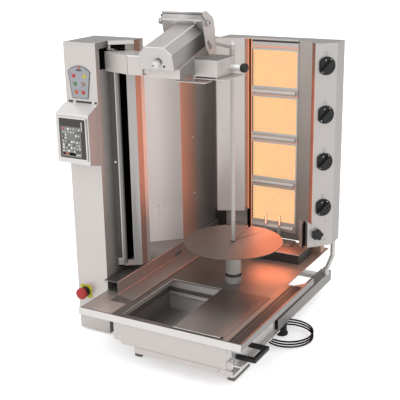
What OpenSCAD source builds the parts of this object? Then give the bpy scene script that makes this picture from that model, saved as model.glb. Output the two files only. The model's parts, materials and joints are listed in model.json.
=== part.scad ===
// Automatic vertical grill: gas burners, turning spit, and a cutting head on a lift tower.
// Working frame: x from the table's left edge, y back from the front lip, z up from the floor.
// place() then puts the origin under the middle of the whole machine.

/* [Table] */
// Height of the table's lip above the floor
deck_h = 175; // [170:1:190]
// Width of the table
table_w = 587; // [575:1:620]
// Depth of the machine, from the front lip to the rear rail
depth = 880; // [876:1:920]
// Height of the front lip
lip_h = 22; // [18:1:26]
// Thickness of the table sheet
deck_t = 3; // [2:0.5:4]
// Depth of the table sheet below the lip's top
deck_drop = 4; // [3:0.5:6]
// Width of the run-off strip on the right
gutter_w = 39; // [32:1:42]
// Length of the run-off strip at its inner edge
gutter_l = 485; // [460:1:500]

/* [Catch opening] */
// Left edge of the opening above the drawer
mouth_x = 156; // [150:1:170]
// Front edge of the opening
mouth_y = 33; // [30:1:40]
// Distance of the opening's right edge from the run-off strip
mouth_in = 48; // [44:1:60]
// Depth of the opening
mouth_d = 310; // [290:1:310]
// Width of the sliding cover
cover_w = 175; // [160:1:180]
// How far the cover slides
cover_travel = 165; // [120:1:165]

/* [Drawer] */
// Left side of the drawer chassis
bay_x = 131; // [128:1:140]
// Height of the chassis floor above the ground
bay_z = 60; // [56:1:64]
// Front of the drawer
drawer_y = 48; // [46:1:52]
// Depth of the drawer
drawer_d = 297; // [285:1:300]
// Height of the drawer
drawer_h = 80; // [74:1:82]
// How far the drawer pulls out
drawer_travel = 260; // [200:1:280]

/* [Lift tower] */
// Width of the tower's front
tower_w = 124; // [118:1:130]
// Front face of the tower, from the table's lip
tower_y = 170; // [165:1:180]
// Depth of the tower
tower_d = 171; // [168:1:180]
// Height of the tower
tower_h = 1001; // [990:1:1040]
// Sheet thickness of the tower
tower_t = 2; // [1.5:0.5:2.5]
// How far the arm travels down
lift_travel = 480; // [400:1:480]
// Radius of the guide rods
guide_r = 8; // [7:0.5:9]
// Radius of the lift screw
screw_r = 9; // [8:0.5:10]

/* [Cutting head] */
// Width of the motor housing
motor_w = 117; // [110:1:120]
// Height of the motor housing
motor_h = 72; // [68:1:76]
// Length of the motor housing
motor_l = 195; // [185:1:200]
// Upward tilt of the motor housing
motor_tilt = 14.5; // [12:0.5:16]
// Radius of the round blade
blade_r = 48; // [42:1:50]

/* [Spit] */
// Spit axis, from the table's right edge
spit_in = 242; // [239:1:244]
// Spit axis, from the front lip
spit_y = 430; // [428:1:434]
// Radius of the meat disc
disc_r = 169; // [150:1:172]
// Thickness of the meat disc
disc_t = 3; // [2:0.5:4]
// Top of the disc above the floor
disc_z = 318; // [300:1:320]
// Radius of the spit rod
rod_r = 6.5; // [6:0.25:8]
// Top of the spit rod above the floor
rod_top = 966; // [955:1:970]

/* [Burners] */
// Number of burner tiles
tile_n = 4;
// Width of a burner tile
tile_w = 170; // [160:1:172]
// Height of a burner tile
tile_h = 130; // [120:1:134]
// Distance between neighbouring tiles
tile_pitch = 170; // [168:1:172]
// Top of the highest tile above the floor
tile_top = 917; // [910:1:920]
// Top of the burner housing above the floor
stove_top = 958; // [950:1:970]
// Bottom of the burner housing above the floor
stove_base = 227; // [224:1:230]
// Radius of the gas knobs
knob_r = 31; // [26:0.5:33]

/* [Hidden] */
$fn = 48;

// Overrun of every cut, clearance between moving pieces and of a running fit
over = 1;
gap = 0.3;
fit = 0.05;
// Spacing of pieces that stand beside each other
beside = 1;

// Whole machine
hmi_over = 5;
grip_over = 17;
left_reach = tower_w + beside + hmi_over;
right_reach = table_w + grip_over;
mid_x = (right_reach - left_reach) / 2;
mid_y = depth / 2;

// Places along the table's width
mouth_w = table_w - gutter_w - mouth_in - mouth_x;
spit_x = table_w - spit_in;

// Table levels
deck_top = deck_h - deck_drop;
deck_base = deck_top - deck_t;
lip_t = 6;
lip_lean = 5;
plate_x2 = table_w - gutter_w;
plate_in = 24;
plate_end = 6;
plate_side = plate_x2 - plate_in;
plate_back = depth - plate_end;
gutter_fall = 7;
gutter_wall = 4;
gutter_cut = 85;

// Ledge under the burners and the blocks that carry the housing
stove_gap = 30;
stove_back = depth - stove_gap;
tile_in = 340;
tile_x = table_w - tile_in;
ledge_out = 7;
ledge_in = 123;
ledge_x = tile_x - ledge_out;
ledge_w = tile_w + 2 * ledge_out + deck_t;
ledge_y = stove_back - ledge_in;
ledge_d = 60;
ledge_h = 42;
block_w = 40;
block_d = 34;
block_in = 44;
block_y = stove_back - block_in;
block_out = 91;
block_left = tile_x - block_out;
block_edge = 109;
block_right = table_w - block_edge;

// Rails and feet
rail = 40;
rail_wall = 2.5;
foot_h = 40;
foot_r = 21;
foot_out = 7;
rear_end = 70;
rear_w = 32;
rear_h = 16;
rail_in = 30;
rail_right = plate_side - rail_in;
rail_left = -60;
rail_left_y = tower_y + tower_d;
bay_t = 3;
bay_gap = 9;
rail_gap = 36;
bay_back = drawer_y + drawer_d + bay_gap;
rail_front = bay_back + rail_gap;
foot_in = 58;
rear_y = depth - rear_end;
post_r = 12;
post_in = 40;
rear_post_in = 96;
rear_foot_in = 154;

// Front legs
leg_in_left = 26;
leg_in_right = 36;
leg_w = 24;
leg_y = 84;
leg_d = 34;
leg_long = 110;
pad_h = 12;

// Drawer chassis
bay_in = 52;
bay_x2 = table_w - bay_in;
panel_t = 3;
panel_y = 8;
panel_top = deck_h - lip_h + (panel_y - lip_t) * (lip_h - deck_drop - deck_t) / lip_lean - gap;
flange_h = 19;
flange_x = 82;
notch_y = 84;
flange_out = 21;
corner_rise = 11;
corner_in = 20;
corner_run = 10;
panel_hole_r = 3;
panel_hole_in = 24;
panel_hole_up = 13;
stub_d = 34;

// Latch
latch_y = 10;
latch_d = 26;
latch_z = 86;
latch_h = 20;
latch_w = 20;
pin_r = 3;
lever_l = 34;
lever_t = 5;
lever_d = 18;

// Drawer, its handle and the pan
drawer_t = 2;
face_t = 3;
drawer_z = bay_z + bay_t + gap;
drawer_x2 = bay_x2;
bow_z = 88;
bow_h = 15;
bow_t = 16;
bow_y = 66;
bow_l = 102;
pan_t = 1.5;
pan_inset = 4;
pan_w = 262;
pan_h = 65;
pan_rim = 7;
pan_slot_l = 26;
pan_slot_w = 6;
pan_slot_x = 58;
pan_slot_y = 60;

// Cover
cover_t = 1.7;
cover_lap = 15;
cover_lap_back = 10;
cover_over = 19;
cover_x = mouth_x + mouth_w + cover_over - cover_w;
cover_lip = 5;
cover_lip_t = 3;

// Catch trough beside the tower
trough_x = 57;
trough_top = 217;
trough_t = 2;
trough_w = 74;
trough_y = 147;
trough_nose = 22;
trough_floor_l = 560;
trough_lip = 6;
trough_lap = 53;
trough_wide = 70;
trough_end = 8;
trough_back = depth - trough_end;
trough_notch_y = 520;
trough_notch_l = 46;
trough_notch_h = 18;

// Tower outline: right side, and the slanted face with its slot
tower_x2 = -beside;
tower_x1 = tower_x2 - tower_w;
tower_y2 = tower_y + tower_d;
slant_x = 67;
slant_in = 70;
slant_run = 48;
slant_y1 = tower_y + slant_in;
slant_y2 = slant_y1 + slant_run;
slant_l = sqrt(slant_x * slant_x + (slant_y2 - slant_y1) * (slant_y2 - slant_y1));
slant_a = atan2(slant_y2 - slant_y1, slant_x);
slot_from = 18;
slot_w = 36;

slot_head = 26;
wing_z = 232;
slot_base = wing_z - over;
window_z = 915;
window_h = 66;
window_y = 20;
window_d = 44;
flap_t = 2;
flap_out = 12;
flap_fall = 10;
foot_plate = 6;

// Arm and carriage
arm_z = 910;
arm_h = 60;
arm_t = 3;
car_z = 902;
car_h = 64;
car_y = 270;
car_d = 52;
car_in = 5;
guide_in = 24;
guide_y = 300;
neck_w = 26;
neck_out = 12;
neck_in = 75;
plate_h = 10;
plate_low = 118;
plate_high = 974;
guide_x1 = tower_x1 + guide_in;
guide_x2 = tower_x2 - guide_in;
screw_x = (guide_x1 + guide_x2) / 2;
lift_motor_h = 90;
lift_motor_w = 66;
lift_motor_z = 22;

// Outline of the arm
arm_front = 8;
arm_knee = 111;
arm_left = 4;
arm_left_y1 = 42;
arm_left_y2 = 62;
arm_back_y = 68;
arm_back_x = 104;
arm_wide_y = 94;
arm_corner_x = 60;
arm_corner_y = 104;

// Screw heads
screw_head_r = 3;
screw_head_h = 1.6;
screw_in = 9;
col_screw_x = 47;
col_screw_apart = 22;
col_screw_up = 31;
col_screw_z = 327;

// Key panel
key_panel_t = 1.6;
arch_n = 8;
key_off = 5;
key_mid = (tower_x1 + tower_x2) / 2 - key_off;
key_z = 823;
key_h = 104;
key_shoulder = 87;
key_top_w = 84;
key_low_w = 61;
key_r = 6;
key_proud = 1;
key_slack = 0.8;
key_row_shares = [0.69, 0.45, 0.19];
key_side_shares = [0.25, 0.3, 0.34];

// Display box
hmi_z = 607;
hmi_h = 202;
hmi_d = 57;
hmi_low = 14;
hmi_slope = 27;
hmi_t = 2.5;
bezel_in = 10;
bezel_low = 13;
bezel_h = 139;
bezel_w = 112;
bezel_t = 4;
bezel_band = 5;
screen_t = 2;

// Stop button
stop_x = 33;
stop_z = 149;
stop_plate = 44;
stop_plate_t = 2;
stop_collar_r = 15;
stop_collar_l = 14;
stop_r = 20;
stop_cap_l = 16;
stop_stem_r = 8;
stop_travel = 5;

// Cutting head
head_x = 166;
head_y = 172;
head_z = 932;
motor_top_shares = [0.205, 0.795];
motor_side_share = 0.66;
motor_bump = 5;
stub_r = 12;
stub_l = 14;
head_wall = 3;
low_x = 19;
low_w = 110;
low_y = 13;
low_d = 105;
low_h = 26;
knife_in = 6;
knife_w = 84;
knife_y = 103;
knife_d = 120;
knife_h = 52;
knife_drop = 30;
bar_r = 10;
bar_l = 38;
bar_y = 90;
bar_z = 20;
cap_r = 14.5;
cap_l = 20;
slice_t = 3;
slice_drop = 4;
slice_w = 118;
slice_l = 128;
tab_w = 106;
tab_l = 46;
tab_drop = 17;
neck_r = 16;
blade_t = 2;
blade_gap = 14;
hood_x = -28;
hood_w = 148;
hood_h = 104;
hood_bend = 87;
hood_lean = 10;
hood_rim_r = 3.3;
hood_chin = 60;
hood_tip = 30;
hood_brow = 34;
hood_cheek = 71;
hood_nape = 15;
hood_d = 73;
hood_d_left = 40;
hood_t = 2.5;
hood_gap = 3;
hood_low = 6;
hood_knob_r = 10.5;
hood_knob_l = 12;
hood_knob_up = 76;
hood_knob_in = 7;
hood_knob_up_right = 68;
hood_knob_in_right = 24;
hood_stem_r = 4;
hood_slot_w = 5;
hood_slot_l = 38;
hood_slot_up = -1;
hood_slot_in = 27;
hood_slot_tilt = 32;

// Spit column and its top arm
col_x1 = -58;
col_in = 174;
col_run = 93;
col_end = 10;
col_y1 = tower_y2 + col_in;
col_x2 = 42;
col_y2 = col_y1 + col_run;
col_x3 = 38;
col_flange = 84;
col_y3 = depth - col_end;
col_top = 945;
col_t = 2;
holder_in = 34;
holder_back = 60;
holder_x = col_x3 - holder_in;
holder_y = col_y2 + holder_back;
holder_z = 976;
holder_h = 24;
holder_w = 34;
holder_l = 200;
boss_r = 9;
boss_h = 13;
boss_z = rod_top + gap;
top_pin_r = 4;
top_pin_up = 24;
top_knob_r = 7;
top_knob_h = 7;
top_bore = 16;
rod_head_r = 9;
rod_head_h = 18;
holder_bar_r = 5;

// Spit drive
hub_r = 26.5;
collar_r = 29.5;
collar_h = 24;
journal_r = 20;
ring_gap = 2;
drive_w = 150;
drive_in = 2;
drive_out = 88;
drive_y = rail_front + drive_in;
drive_d = 140;
drive_t = 3;
drive_x = spit_x - drive_out;
drive_z = foot_h + rail;
gear_w = 90;
gear_gap = 18;
gear_share = 0.5;
gear_h = (deck_base - drive_z) * gear_share;
shaft_r = 11;
journal_l = deck_top + collar_h + ring_gap - drive_z - drive_t - gear_h - gear_gap;
seat_r = 9;
seat_h = 4;
slit_w = 3;
slit_mouth = 9;
slit_turn = 6;

// Burner housing outline
tile_back = 61;
tile_y = stove_back - tile_back;
tile_lap = 5;
box_x = tile_x + tile_w + tile_lap + gap;
tile_t = 12;
wing_x = 125;
channel_w = 24;
wing_y = 56;
cheek_in = 98;
cheek_back = 99;
front_in = 74;
front_back = 133;
side_in = 18;
side_back = 73;
cheek_x = table_w - cheek_in;
cheek_y = stove_back - cheek_back;
front_x = table_w - front_in;
front_y = stove_back - front_back;
side_x = table_w - side_in;
side_y = stove_back - side_back;
skin = 3;
wing_base = 305;
back_w = 50;
tube_r = 9;
tube_back = 6;
frame_t = 4;
prong_w = 3;
prong_shares = [0.35, 0.68];
prong_h = 70;
prong_out = 12;
prong_d = 22;

// Control panel, facing front and right
dial_a = atan2(side_y - front_y, side_x - front_x);
dial_w = sqrt((side_x - front_x) * (side_x - front_x) + (side_y - front_y) * (side_y - front_y));
dial_t = 3;
dial_up = 655;
dial_pitch = 169;
knob_l = 22;
knob_skirt = 6;
grip_w = 12;
spindle_r = 4;
spindle_l = 40;
star_r = 21;
star_l = 18;
star_up = 48;
star_in = 20;
star_lobe_r = 8;
gusset_w = 15;
gusset_h = 100;
guide_w = 13;
guide_t = 5;
guide_up = 4;
manifold_r = 10;
manifold_in = 89;
manifold_back = 62;
manifold_x = table_w - manifold_in;
manifold_y = stove_back - manifold_back;
valve_r = 9;
inlet_r = 10.5;
inlet_l = 24;
spigot_r = 9;
spigot_l = 20;
inlet_z = 300;
jet_r = 5;
jet_l = 50;
tube_in = 31;
leg_back = 20;
leg_out = 34;
leg_end = 42;
tube_x = table_w - tube_in;
leg_r = 9;
leg_top_y = stove_back - leg_back;
leg_low_x = rail_right + leg_out;
leg_low_y = depth - leg_end;
leg_bend_z = 165;
leg_foot_h = 24;

// Cord: gland, a free stretch, a coil of three loops and the plug
cord_d = 6;
gland_r = 11;
gland_l = 26;
gland_y = 60;
gland_z = 104;
coil_r = 81;
coil_pitch = 9.3;
coil_rise = 0.4;
coil_turn = 1028;
coil_start = 140;
coil_x = 316;
coil_y = -6;
coil_end_l = 76;
coil_steps = 70;
coil_sides = 6;
plug_r = 18;
plug_l = 52;
plug_pin_r = 2.4;
plug_pin_l = 19;
plug_pin_apart = 19;
coil_low = cord_d / 2 + coil_rise;
coil_high = coil_low + coil_pitch * coil_turn / 360;
// Route of the free stretch, in the part's own frame, from the gland to the top of the coil
route = [[196, 12, 104], [204, 12, 103.5], [217, 12, 99], [229, 12, 87], [234, 12, 70], [235, 13, 60],
  [236, 16, 48], [240, 24, 38], [247.5, 38.4, 31.2]];

// Moves a piece from the working frame to the part's own frame
module place() {
  translate([-mid_x, -mid_y, 0]) children();
}

// A box from its low corner
module box(at, size) {
  translate(at) cube(size);
}

// A round bar along z
module rod(at, r, l) {
  translate(at) cylinder(r = r, h = l);
}

// A round bar along x
module rod_x(at, r, l) {
  translate(at) rotate([0, 90, 0]) cylinder(r = r, h = l);
}

// A round bar that runs back along y
module rod_y(at, r, l) {
  translate(at) rotate([-90, 0, 0]) cylinder(r = r, h = l);
}

// A hollow square tube from its low corner
module tube_y(at, l) {
  difference() {
    box(at, [rail, l, rail]);
    box(at + [rail_wall, -over, rail_wall], [rail - 2 * rail_wall, l + 2 * over, rail - 2 * rail_wall]);
  }
}

module tube_x(at, l) {
  difference() {
    box(at, [l, rail, rail]);
    box(at + [-over, rail_wall, rail_wall], [l + 2 * over, rail - 2 * rail_wall, rail - 2 * rail_wall]);
  }
}

// Frame
module side_rails() {
  color("silver") place() {
    tube_y([rail_right, rail_front, foot_h], depth - rail_front);
    tube_y([rail_left, rail_left_y, foot_h], depth - rail_left_y);
  }
}

module cross_rails() {
  from = rail_left + rail;
  color("silver") place() {
    tube_x([from, rail_front, foot_h], rail_right - from);
    box([from, rear_y, foot_h + rail - rear_h], [rail_right - from, rear_w, rear_h]);
    for (y = [rail_front + rail / 2, rear_y + rear_w / 2])
      rod([from + post_in, y, foot_h + rail], post_r, deck_base - foot_h - rail);
    rod([rail_right - post_in, rail_front + rail / 2, foot_h + rail], post_r, deck_base - foot_h - rail);
    rod([rail_right - rear_post_in, rear_y + rear_w / 2, foot_h + rail], post_r,
      deck_base - foot_h - rail);
    rod([rail_left + rail / 2, rail_left_y + post_in, foot_h + rail], post_r,
      trough_top - trough_t - foot_h - rail);
    rod([rail_left + rail / 2, depth - rail, foot_h + rail], post_r,
      trough_top - trough_t - foot_h - rail);
  }
}

module rubber_feet() {
  color("#202020") place() {
    rod([rail_right + rail / 2 + foot_out, rail_front + foot_in, 0], foot_r, foot_h);
    rod([rail_right - rear_foot_in, rear_y + rear_w / 2, 0], foot_r, foot_h + rail - rear_h);
    for (y = [rail_front + foot_in, depth - foot_in])
      rod([rail_left + rail / 2, y, 0], foot_r, foot_h);
    box([bay_x + leg_in_left, leg_y, 0], [leg_w, leg_d, pad_h]);
    box([bay_x2 - leg_in_right, leg_y, 0], [leg_w, leg_long, pad_h]);
    for (x = [tower_x1 + foot_r, tower_x2 - foot_r])
      for (y = [tower_y + foot_r, tower_y2 - foot_r])
        rod([x, y, 0], foot_r - pad_h, foot_plate);
  }
}

// Drawer chassis
module chassis() {
  color("lightgray") place() {
    difference() {
      union() {
        box([bay_x, panel_y, bay_z], [bay_x2 - bay_x + flange_out, bay_back - panel_y, bay_t]);
        box([bay_x + flange_x, panel_y - panel_t, bay_z],
          [bay_x2 - bay_x - flange_x + flange_out, panel_t, flange_h]);
      }
      rod_y([bay_x2 - panel_hole_in, 0, bay_z + panel_hole_up], panel_hole_r, 2 * panel_y);
      box([bay_x - over, 0, bay_z - over], [flange_x + over, notch_y, bay_t + 2 * over]);
    }
    difference() {
      box([bay_x, panel_y + panel_t, bay_z], [bay_t, bay_back - panel_y - panel_t, deck_base - bay_z]);
      box([bay_x - over, 0, bay_z - over], [bay_t + 2 * over, notch_y, flange_h + corner_rise + over]);
    }
    box([bay_x, bay_back - bay_t, bay_z], [bay_x2 - bay_x, bay_t, deck_base - bay_z]);
    box([bay_x2 - bay_t, panel_y + panel_t, bay_z], [bay_t, stub_d, deck_base - bay_z]);
    box([bay_x + leg_in_left, leg_y, pad_h], [leg_w, leg_d, bay_z - pad_h]);
    box([bay_x2 - leg_in_right, leg_y, pad_h], [leg_w, leg_long, bay_z - pad_h]);
    difference() {
      box([bay_x2, latch_y, latch_z], [latch_w, latch_d, latch_h]);
      box([bay_x2 + latch_w / 2, latch_y + (latch_d - lever_d) / 2 - gap, latch_z - over],
        [latch_w, lever_d + 2 * gap, latch_h + 2 * over]);
      rod_y([bay_x2 + latch_w - 2 * pin_r, latch_y - over, latch_z + latch_h / 2],
        pin_r + fit, latch_d + 2 * over);
    }
  }
}

module front_panel() {
  color("lightgray") place()
    translate([0, panel_y + panel_t, 0]) rotate([90, 0, 0]) linear_extrude(panel_t)
      polygon([[bay_x, bay_z + flange_h + corner_rise],
        [bay_x + corner_in, bay_z + flange_h + corner_rise],
        [bay_x + corner_in + corner_run, bay_z + flange_h], [bay_x + flange_x, bay_z + flange_h],
        [bay_x + flange_x, bay_z + bay_t + gap], [bay_x2, bay_z + bay_t + gap],
        [bay_x2, panel_top], [bay_x, panel_top]]);
}

// Table sheet with its lip, run-off strip, opening and the ledge below the burners
module lip_profile() {
  polygon([[0, deck_h - lip_h], [lip_t, deck_h - lip_h], [lip_t + lip_lean, deck_base],
    [lip_t + lip_lean, deck_h], [lip_lean, deck_h]]);
}

module table_top() {
  color("lightgray") place() {
    difference() {
      union() {
        box([0, lip_lean, deck_base], [plate_side, plate_back - lip_lean, deck_t]);
        box([0, lip_lean, deck_base], [plate_x2, gutter_l - lip_lean, deck_t]);
      }
      box([mouth_x, mouth_y, deck_base - over], [mouth_w, mouth_d, deck_t + 2 * over]);
      rod([spit_x, spit_y, deck_base - over], journal_r + gap, deck_t + 2 * over);
    }
    rotate([90, 0, 90]) linear_extrude(table_w) lip_profile();
    difference() {
      rotate([90, 0, 0]) translate([plate_x2, 0, -gutter_l - gutter_cut])
        linear_extrude(gutter_l + gutter_cut - lip_lean)
          polygon([[0, deck_top], [gutter_w - gutter_wall, deck_top - gutter_fall],
            [gutter_w - gutter_wall, deck_h], [gutter_w, deck_h], [gutter_w, deck_h - lip_h],
            [gutter_w - gutter_wall, deck_h - lip_h],
            [gutter_w - gutter_wall, deck_base - gutter_fall], [0, deck_base]]);
      translate([0, 0, deck_h - lip_h - over]) linear_extrude(lip_h + 2 * over)
        polygon([[plate_x2, gutter_l], [table_w + over, gutter_l + gutter_cut],
          [table_w + over, plate_back], [plate_x2 - over, plate_back], [plate_x2 - over, gutter_l]]);
    }
    difference() {
      box([ledge_x, ledge_y, deck_top], [ledge_w, ledge_d, ledge_h]);
      box([ledge_x - over, ledge_y + deck_t, deck_top - over],
        [ledge_w + 2 * over, ledge_d, ledge_h + over - deck_t]);
    }
    for (x = [block_left, block_right])
      box([x, block_y, deck_top], [block_w, block_d, stove_base - deck_top]);
  }
}

// Bent sheet beside the tower that guides the slices forward
module catch_trough() {
  color("gray") place() {
    difference() {
      union() {
        box([trough_x - trough_lap, trough_y, trough_top - trough_t],
          [trough_lap, tower_y2 - trough_y + beside, trough_t]);
        box([trough_x - trough_lap, trough_y, trough_top - trough_lip],
          [trough_t, tower_y - trough_y - beside, trough_lip]);
        box([-trough_wide, tower_y2 + beside, trough_top - trough_t],
          [trough_wide + trough_x, trough_back - tower_y2 - beside, trough_t]);
        box([trough_x - trough_t, trough_y, deck_top + gap],
          [trough_t, trough_back - trough_y, trough_top - deck_top - gap]);
      }
      box([trough_x - trough_t - over, trough_notch_y, deck_top],
        [trough_t + 2 * over, trough_notch_l, trough_notch_h]);
    }
    translate([0, 0, deck_top + gap]) linear_extrude(trough_t)
      polygon([[trough_x - trough_t, trough_y], [trough_x + trough_w, trough_y - trough_nose],
        [trough_x + trough_w, trough_y + trough_floor_l],
        [trough_x - trough_t, trough_y + trough_floor_l]]);
    box([trough_x + trough_w - trough_t, trough_y - trough_nose, deck_top + gap],
      [trough_t, trough_floor_l - trough_nose, trough_lip]);
  }
}

// Lift tower: a column on the floor and a wider upper part with the slanted, slotted face
module slanted(from, w, z, h) {
  translate([tower_x2, slant_y1, z]) rotate([0, 0, slant_a])
    translate([from, -over, 0]) cube([w, tower_t + 2 * over, h]);
}

module tower_outline(inset) {
  corner = inset * (1 - sin(slant_a)) / cos(slant_a);
  x2 = tower_x2 - inset;
  polygon([[tower_x1 + inset, tower_y + inset], [x2, tower_y + inset], [x2, slant_y1 + corner],
    [x2 + slant_x, slant_y2 + corner], [x2 + slant_x, tower_y2 - inset],
    [tower_x1 + inset, tower_y2 - inset]]);
}

module tower_shell() {
  color("#d6d3cf") place() {
    difference() {
      union() {
        box([tower_x1, tower_y, foot_plate], [tower_w, tower_d, wing_z - foot_plate]);
        translate([0, 0, wing_z]) linear_extrude(tower_h - wing_z) tower_outline(0);
      }
      box([tower_x1 + tower_t, tower_y + tower_t, foot_plate + tower_t],
        [tower_w - 2 * tower_t, tower_d - 2 * tower_t, wing_z]);
      translate([0, 0, wing_z + tower_t]) linear_extrude(tower_h - wing_z - tower_t - flap_t)
        tower_outline(tower_t);
      slanted(slot_from, slot_w, slot_base, tower_h - slot_head - slot_base);
      box([tower_x2 - 2 * tower_t, tower_y + window_y, window_z],
        [3 * tower_t, window_d, window_h]);
    }
    translate([tower_x2, slant_y1, tower_h]) rotate([0, 0, slant_a])
      rotate([90, 0, 90]) linear_extrude(slant_l)
        polygon([[flap_t, 0], [0, 0], [-flap_out, -flap_fall], [-flap_out, -flap_fall - flap_t],
          [0, -flap_t], [flap_t, -flap_t]]);
  }
}

// Screw heads on the tower, the display box, the column and the front panel
module screw_y(x, y, z) {
  translate([x, y, z]) rotate([90, 0, 0]) cylinder(r = screw_head_r, h = screw_head_h);
}

module case_screws() {
  col_a = atan2(col_y2 - col_y1, col_x2 - col_x1);
  color("gray") place() {
    for (x = [tower_x1 + 2 * screw_in, tower_x2 - screw_in]) {
      screw_y(x, tower_y, foot_plate + screw_in);
      for (y = [tower_y + screw_in, tower_y2 - screw_in])
        rod([x, y, tower_h], screw_head_r, screw_head_h);
    }
    rod([tower_x2 + slant_x - screw_in, tower_y2 - screw_in, tower_h], screw_head_r, screw_head_h);
    rod([(tower_x1 + tower_x2) / 2, tower_y2 - screw_in, tower_h], screw_head_r, screw_head_h);
    screw_y(bay_x + 2 * screw_in, panel_y, deck_h - lip_h - 4 * screw_in);
    translate([col_x1, col_y1, col_screw_z]) rotate([0, 0, col_a])
      for (x = [col_screw_x, col_screw_x + col_screw_apart], z = [0, col_screw_up])
        translate([x, 0, z]) rotate([90, 0, 0]) cylinder(r = screw_head_r, h = screw_head_h);
    translate([front_x, front_y, stove_base]) rotate([0, 0, dial_a])
      for (at = [[gusset_w, screw_in], [dial_w - gusset_w, screw_in],
        [dial_w - gusset_w, gusset_h - screw_in]])
        translate([at[0], -dial_t, at[1]]) rotate([90, 0, 0])
          cylinder(r = screw_head_r, h = screw_head_h);
  }
}

// Key panel: an arched plate with six round keys
function key_at(row, side) =
  [key_mid + side * (0.5 - key_side_shares[row]) * key_top_w, key_z + key_row_shares[row] * key_h];

module key_outline() {
  polygon(concat([[key_mid - key_low_w / 2, key_z], [key_mid + key_low_w / 2, key_z]],
    [for (k = [0 : arch_n]) let (s = 1 - 2 * k / arch_n)
      [key_mid + s * key_top_w / 2, key_z + key_shoulder + (1 - s * s) * (key_h - key_shoulder)]]));
}

module key_panel() {
  color("#b9c3cf") place()
    difference() {
      translate([0, tower_y, 0]) rotate([90, 0, 0]) linear_extrude(key_panel_t) key_outline();
      for (row = [0 : 2], side = [-1, 1])
        translate([key_at(row, side)[0], tower_y - key_panel_t - over, key_at(row, side)[1]])
          rotate([-90, 0, 0]) cylinder(r = key_r + gap, h = key_panel_t + 2 * over);
    }
}

module key_cap(row, side, shade) {
  color(shade) place()
    translate([key_at(row, side)[0], tower_y - key_panel_t - key_proud, key_at(row, side)[1]])
      rotate([-90, 0, 0]) cylinder(r = key_r, h = key_panel_t + key_proud - key_slack);
}

module key_1() { key_cap(0, -1, "#d23a34"); }
module key_2() { key_cap(0, 1, "#d8c93a"); }
module key_3() { key_cap(1, -1, "#2f9a55"); }
module key_4() { key_cap(1, 1, "#a99a90"); }
module key_5() { key_cap(2, -1, "#e0643c"); }
module key_6() { key_cap(2, 1, "#d84438"); }

// Display box with its bezel
module hmi_profile(inset) {
  polygon([[tower_y, hmi_z + inset], [tower_y - hmi_d + inset, hmi_z + hmi_low + inset],
    [tower_y - hmi_d + inset, hmi_z + hmi_h - hmi_slope - inset], [tower_y, hmi_z + hmi_h - inset]]);
}

module hmi_housing() {
  x = tower_x1 - hmi_over;
  w = left_reach - beside;
  front = tower_y - hmi_d;
  color("#dad8d5") place() {
    difference() {
      translate([x, 0, 0]) rotate([90, 0, 90]) linear_extrude(w) hmi_profile(0);
      translate([x + hmi_t, 0, 0]) rotate([90, 0, 90]) linear_extrude(w - 2 * hmi_t)
        hmi_profile(hmi_t);
    }
    difference() {
      box([x + bezel_in, front - bezel_t, hmi_z + hmi_low + bezel_low], [bezel_w, bezel_t, bezel_h]);
      box([x + bezel_in + bezel_band, front - bezel_t - over, hmi_z + hmi_low + bezel_low + bezel_band],
        [bezel_w - 2 * bezel_band, bezel_t + over, bezel_h - 2 * bezel_band]);
    }
  }
}

module hmi_screen() {
  x = tower_x1 - hmi_over;
  color("#26272a") place()
    box([x + bezel_in + bezel_band + gap, tower_y - hmi_d - screen_t,
      hmi_z + hmi_low + bezel_low + bezel_band + gap],
      [bezel_w - 2 * bezel_band - 2 * gap, screen_t, bezel_h - 2 * bezel_band - 2 * gap]);
}

// Stop button on its yellow plate
module stop_collar() {
  x = tower_x1 + stop_x;
  color("#d8d020") place()
    difference() {
      union() {
        box([x - stop_plate / 2, tower_y - stop_plate_t, stop_z - stop_plate / 2],
          [stop_plate, stop_plate_t, stop_plate]);
        rod_y([x, tower_y - stop_plate_t - stop_collar_l, stop_z], stop_collar_r, stop_collar_l);
      }
      rod_y([x, tower_y - stop_plate_t - stop_collar_l - over, stop_z], stop_stem_r + gap,
        stop_collar_l + over);
    }
}

module stop_button() {
  x = tower_x1 + stop_x;
  y = tower_y - stop_plate_t - stop_collar_l - stop_travel - gap;
  color("#c03030") place() {
    rod_y([x, y - stop_cap_l, stop_z], stop_r, stop_cap_l);
    rod_y([x, y, stop_z], stop_stem_r, stop_travel + stop_collar_l / 2);
  }
}

// Lift drive inside the tower
module guide_rods() {
  color("silver") place() {
    for (x = [guide_x1, guide_x2])
      rod([x, guide_y, plate_low], guide_r, plate_high + plate_h - plate_low);
    for (z = [plate_low, plate_high])
      difference() {
        box([tower_x1 + car_in, car_y, z],
          [tower_w - 2 * car_in, tower_y2 - tower_t - car_y, plate_h]);
        rod([screw_x, guide_y, z - over], screw_r + fit, plate_h + 2 * over);
      }
  }
}

module lift_screw() {
  color("gray") place()
    rod([screw_x, guide_y, lift_motor_z + lift_motor_h + gap], screw_r,
      plate_high + plate_h - lift_motor_z - lift_motor_h);
}

module lift_motor() {
  color("dimgray") place() {
    box([screw_x - lift_motor_w / 2, guide_y - lift_motor_w / 2, lift_motor_z],
      [lift_motor_w, lift_motor_w, lift_motor_h]);
    box([screw_x - lift_motor_w / 2, guide_y - lift_motor_w / 2, foot_plate + tower_t],
      [lift_motor_w, tower_y2 - tower_t - guide_y + lift_motor_w / 2, lift_motor_z - foot_plate - tower_t]);
  }
}

module carriage() {
  color("gray") place() {
    difference() {
      union() {
        box([tower_x1 + car_in, car_y, car_z], [tower_w - 2 * car_in, car_d, car_h]);
        translate([tower_x2, slant_y1, car_z]) rotate([0, 0, slant_a])
          translate([slot_from + (slot_w - neck_w) / 2, -neck_out, 0]) cube([neck_w, neck_in, car_h]);
      }
      for (x = [guide_x1, guide_x2])
        rod([x, guide_y, car_z - over], guide_r + fit, car_h + 2 * over);
      rod([screw_x, guide_y, car_z - over], screw_r + fit, car_h + 2 * over);
    }
  }
}

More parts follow.
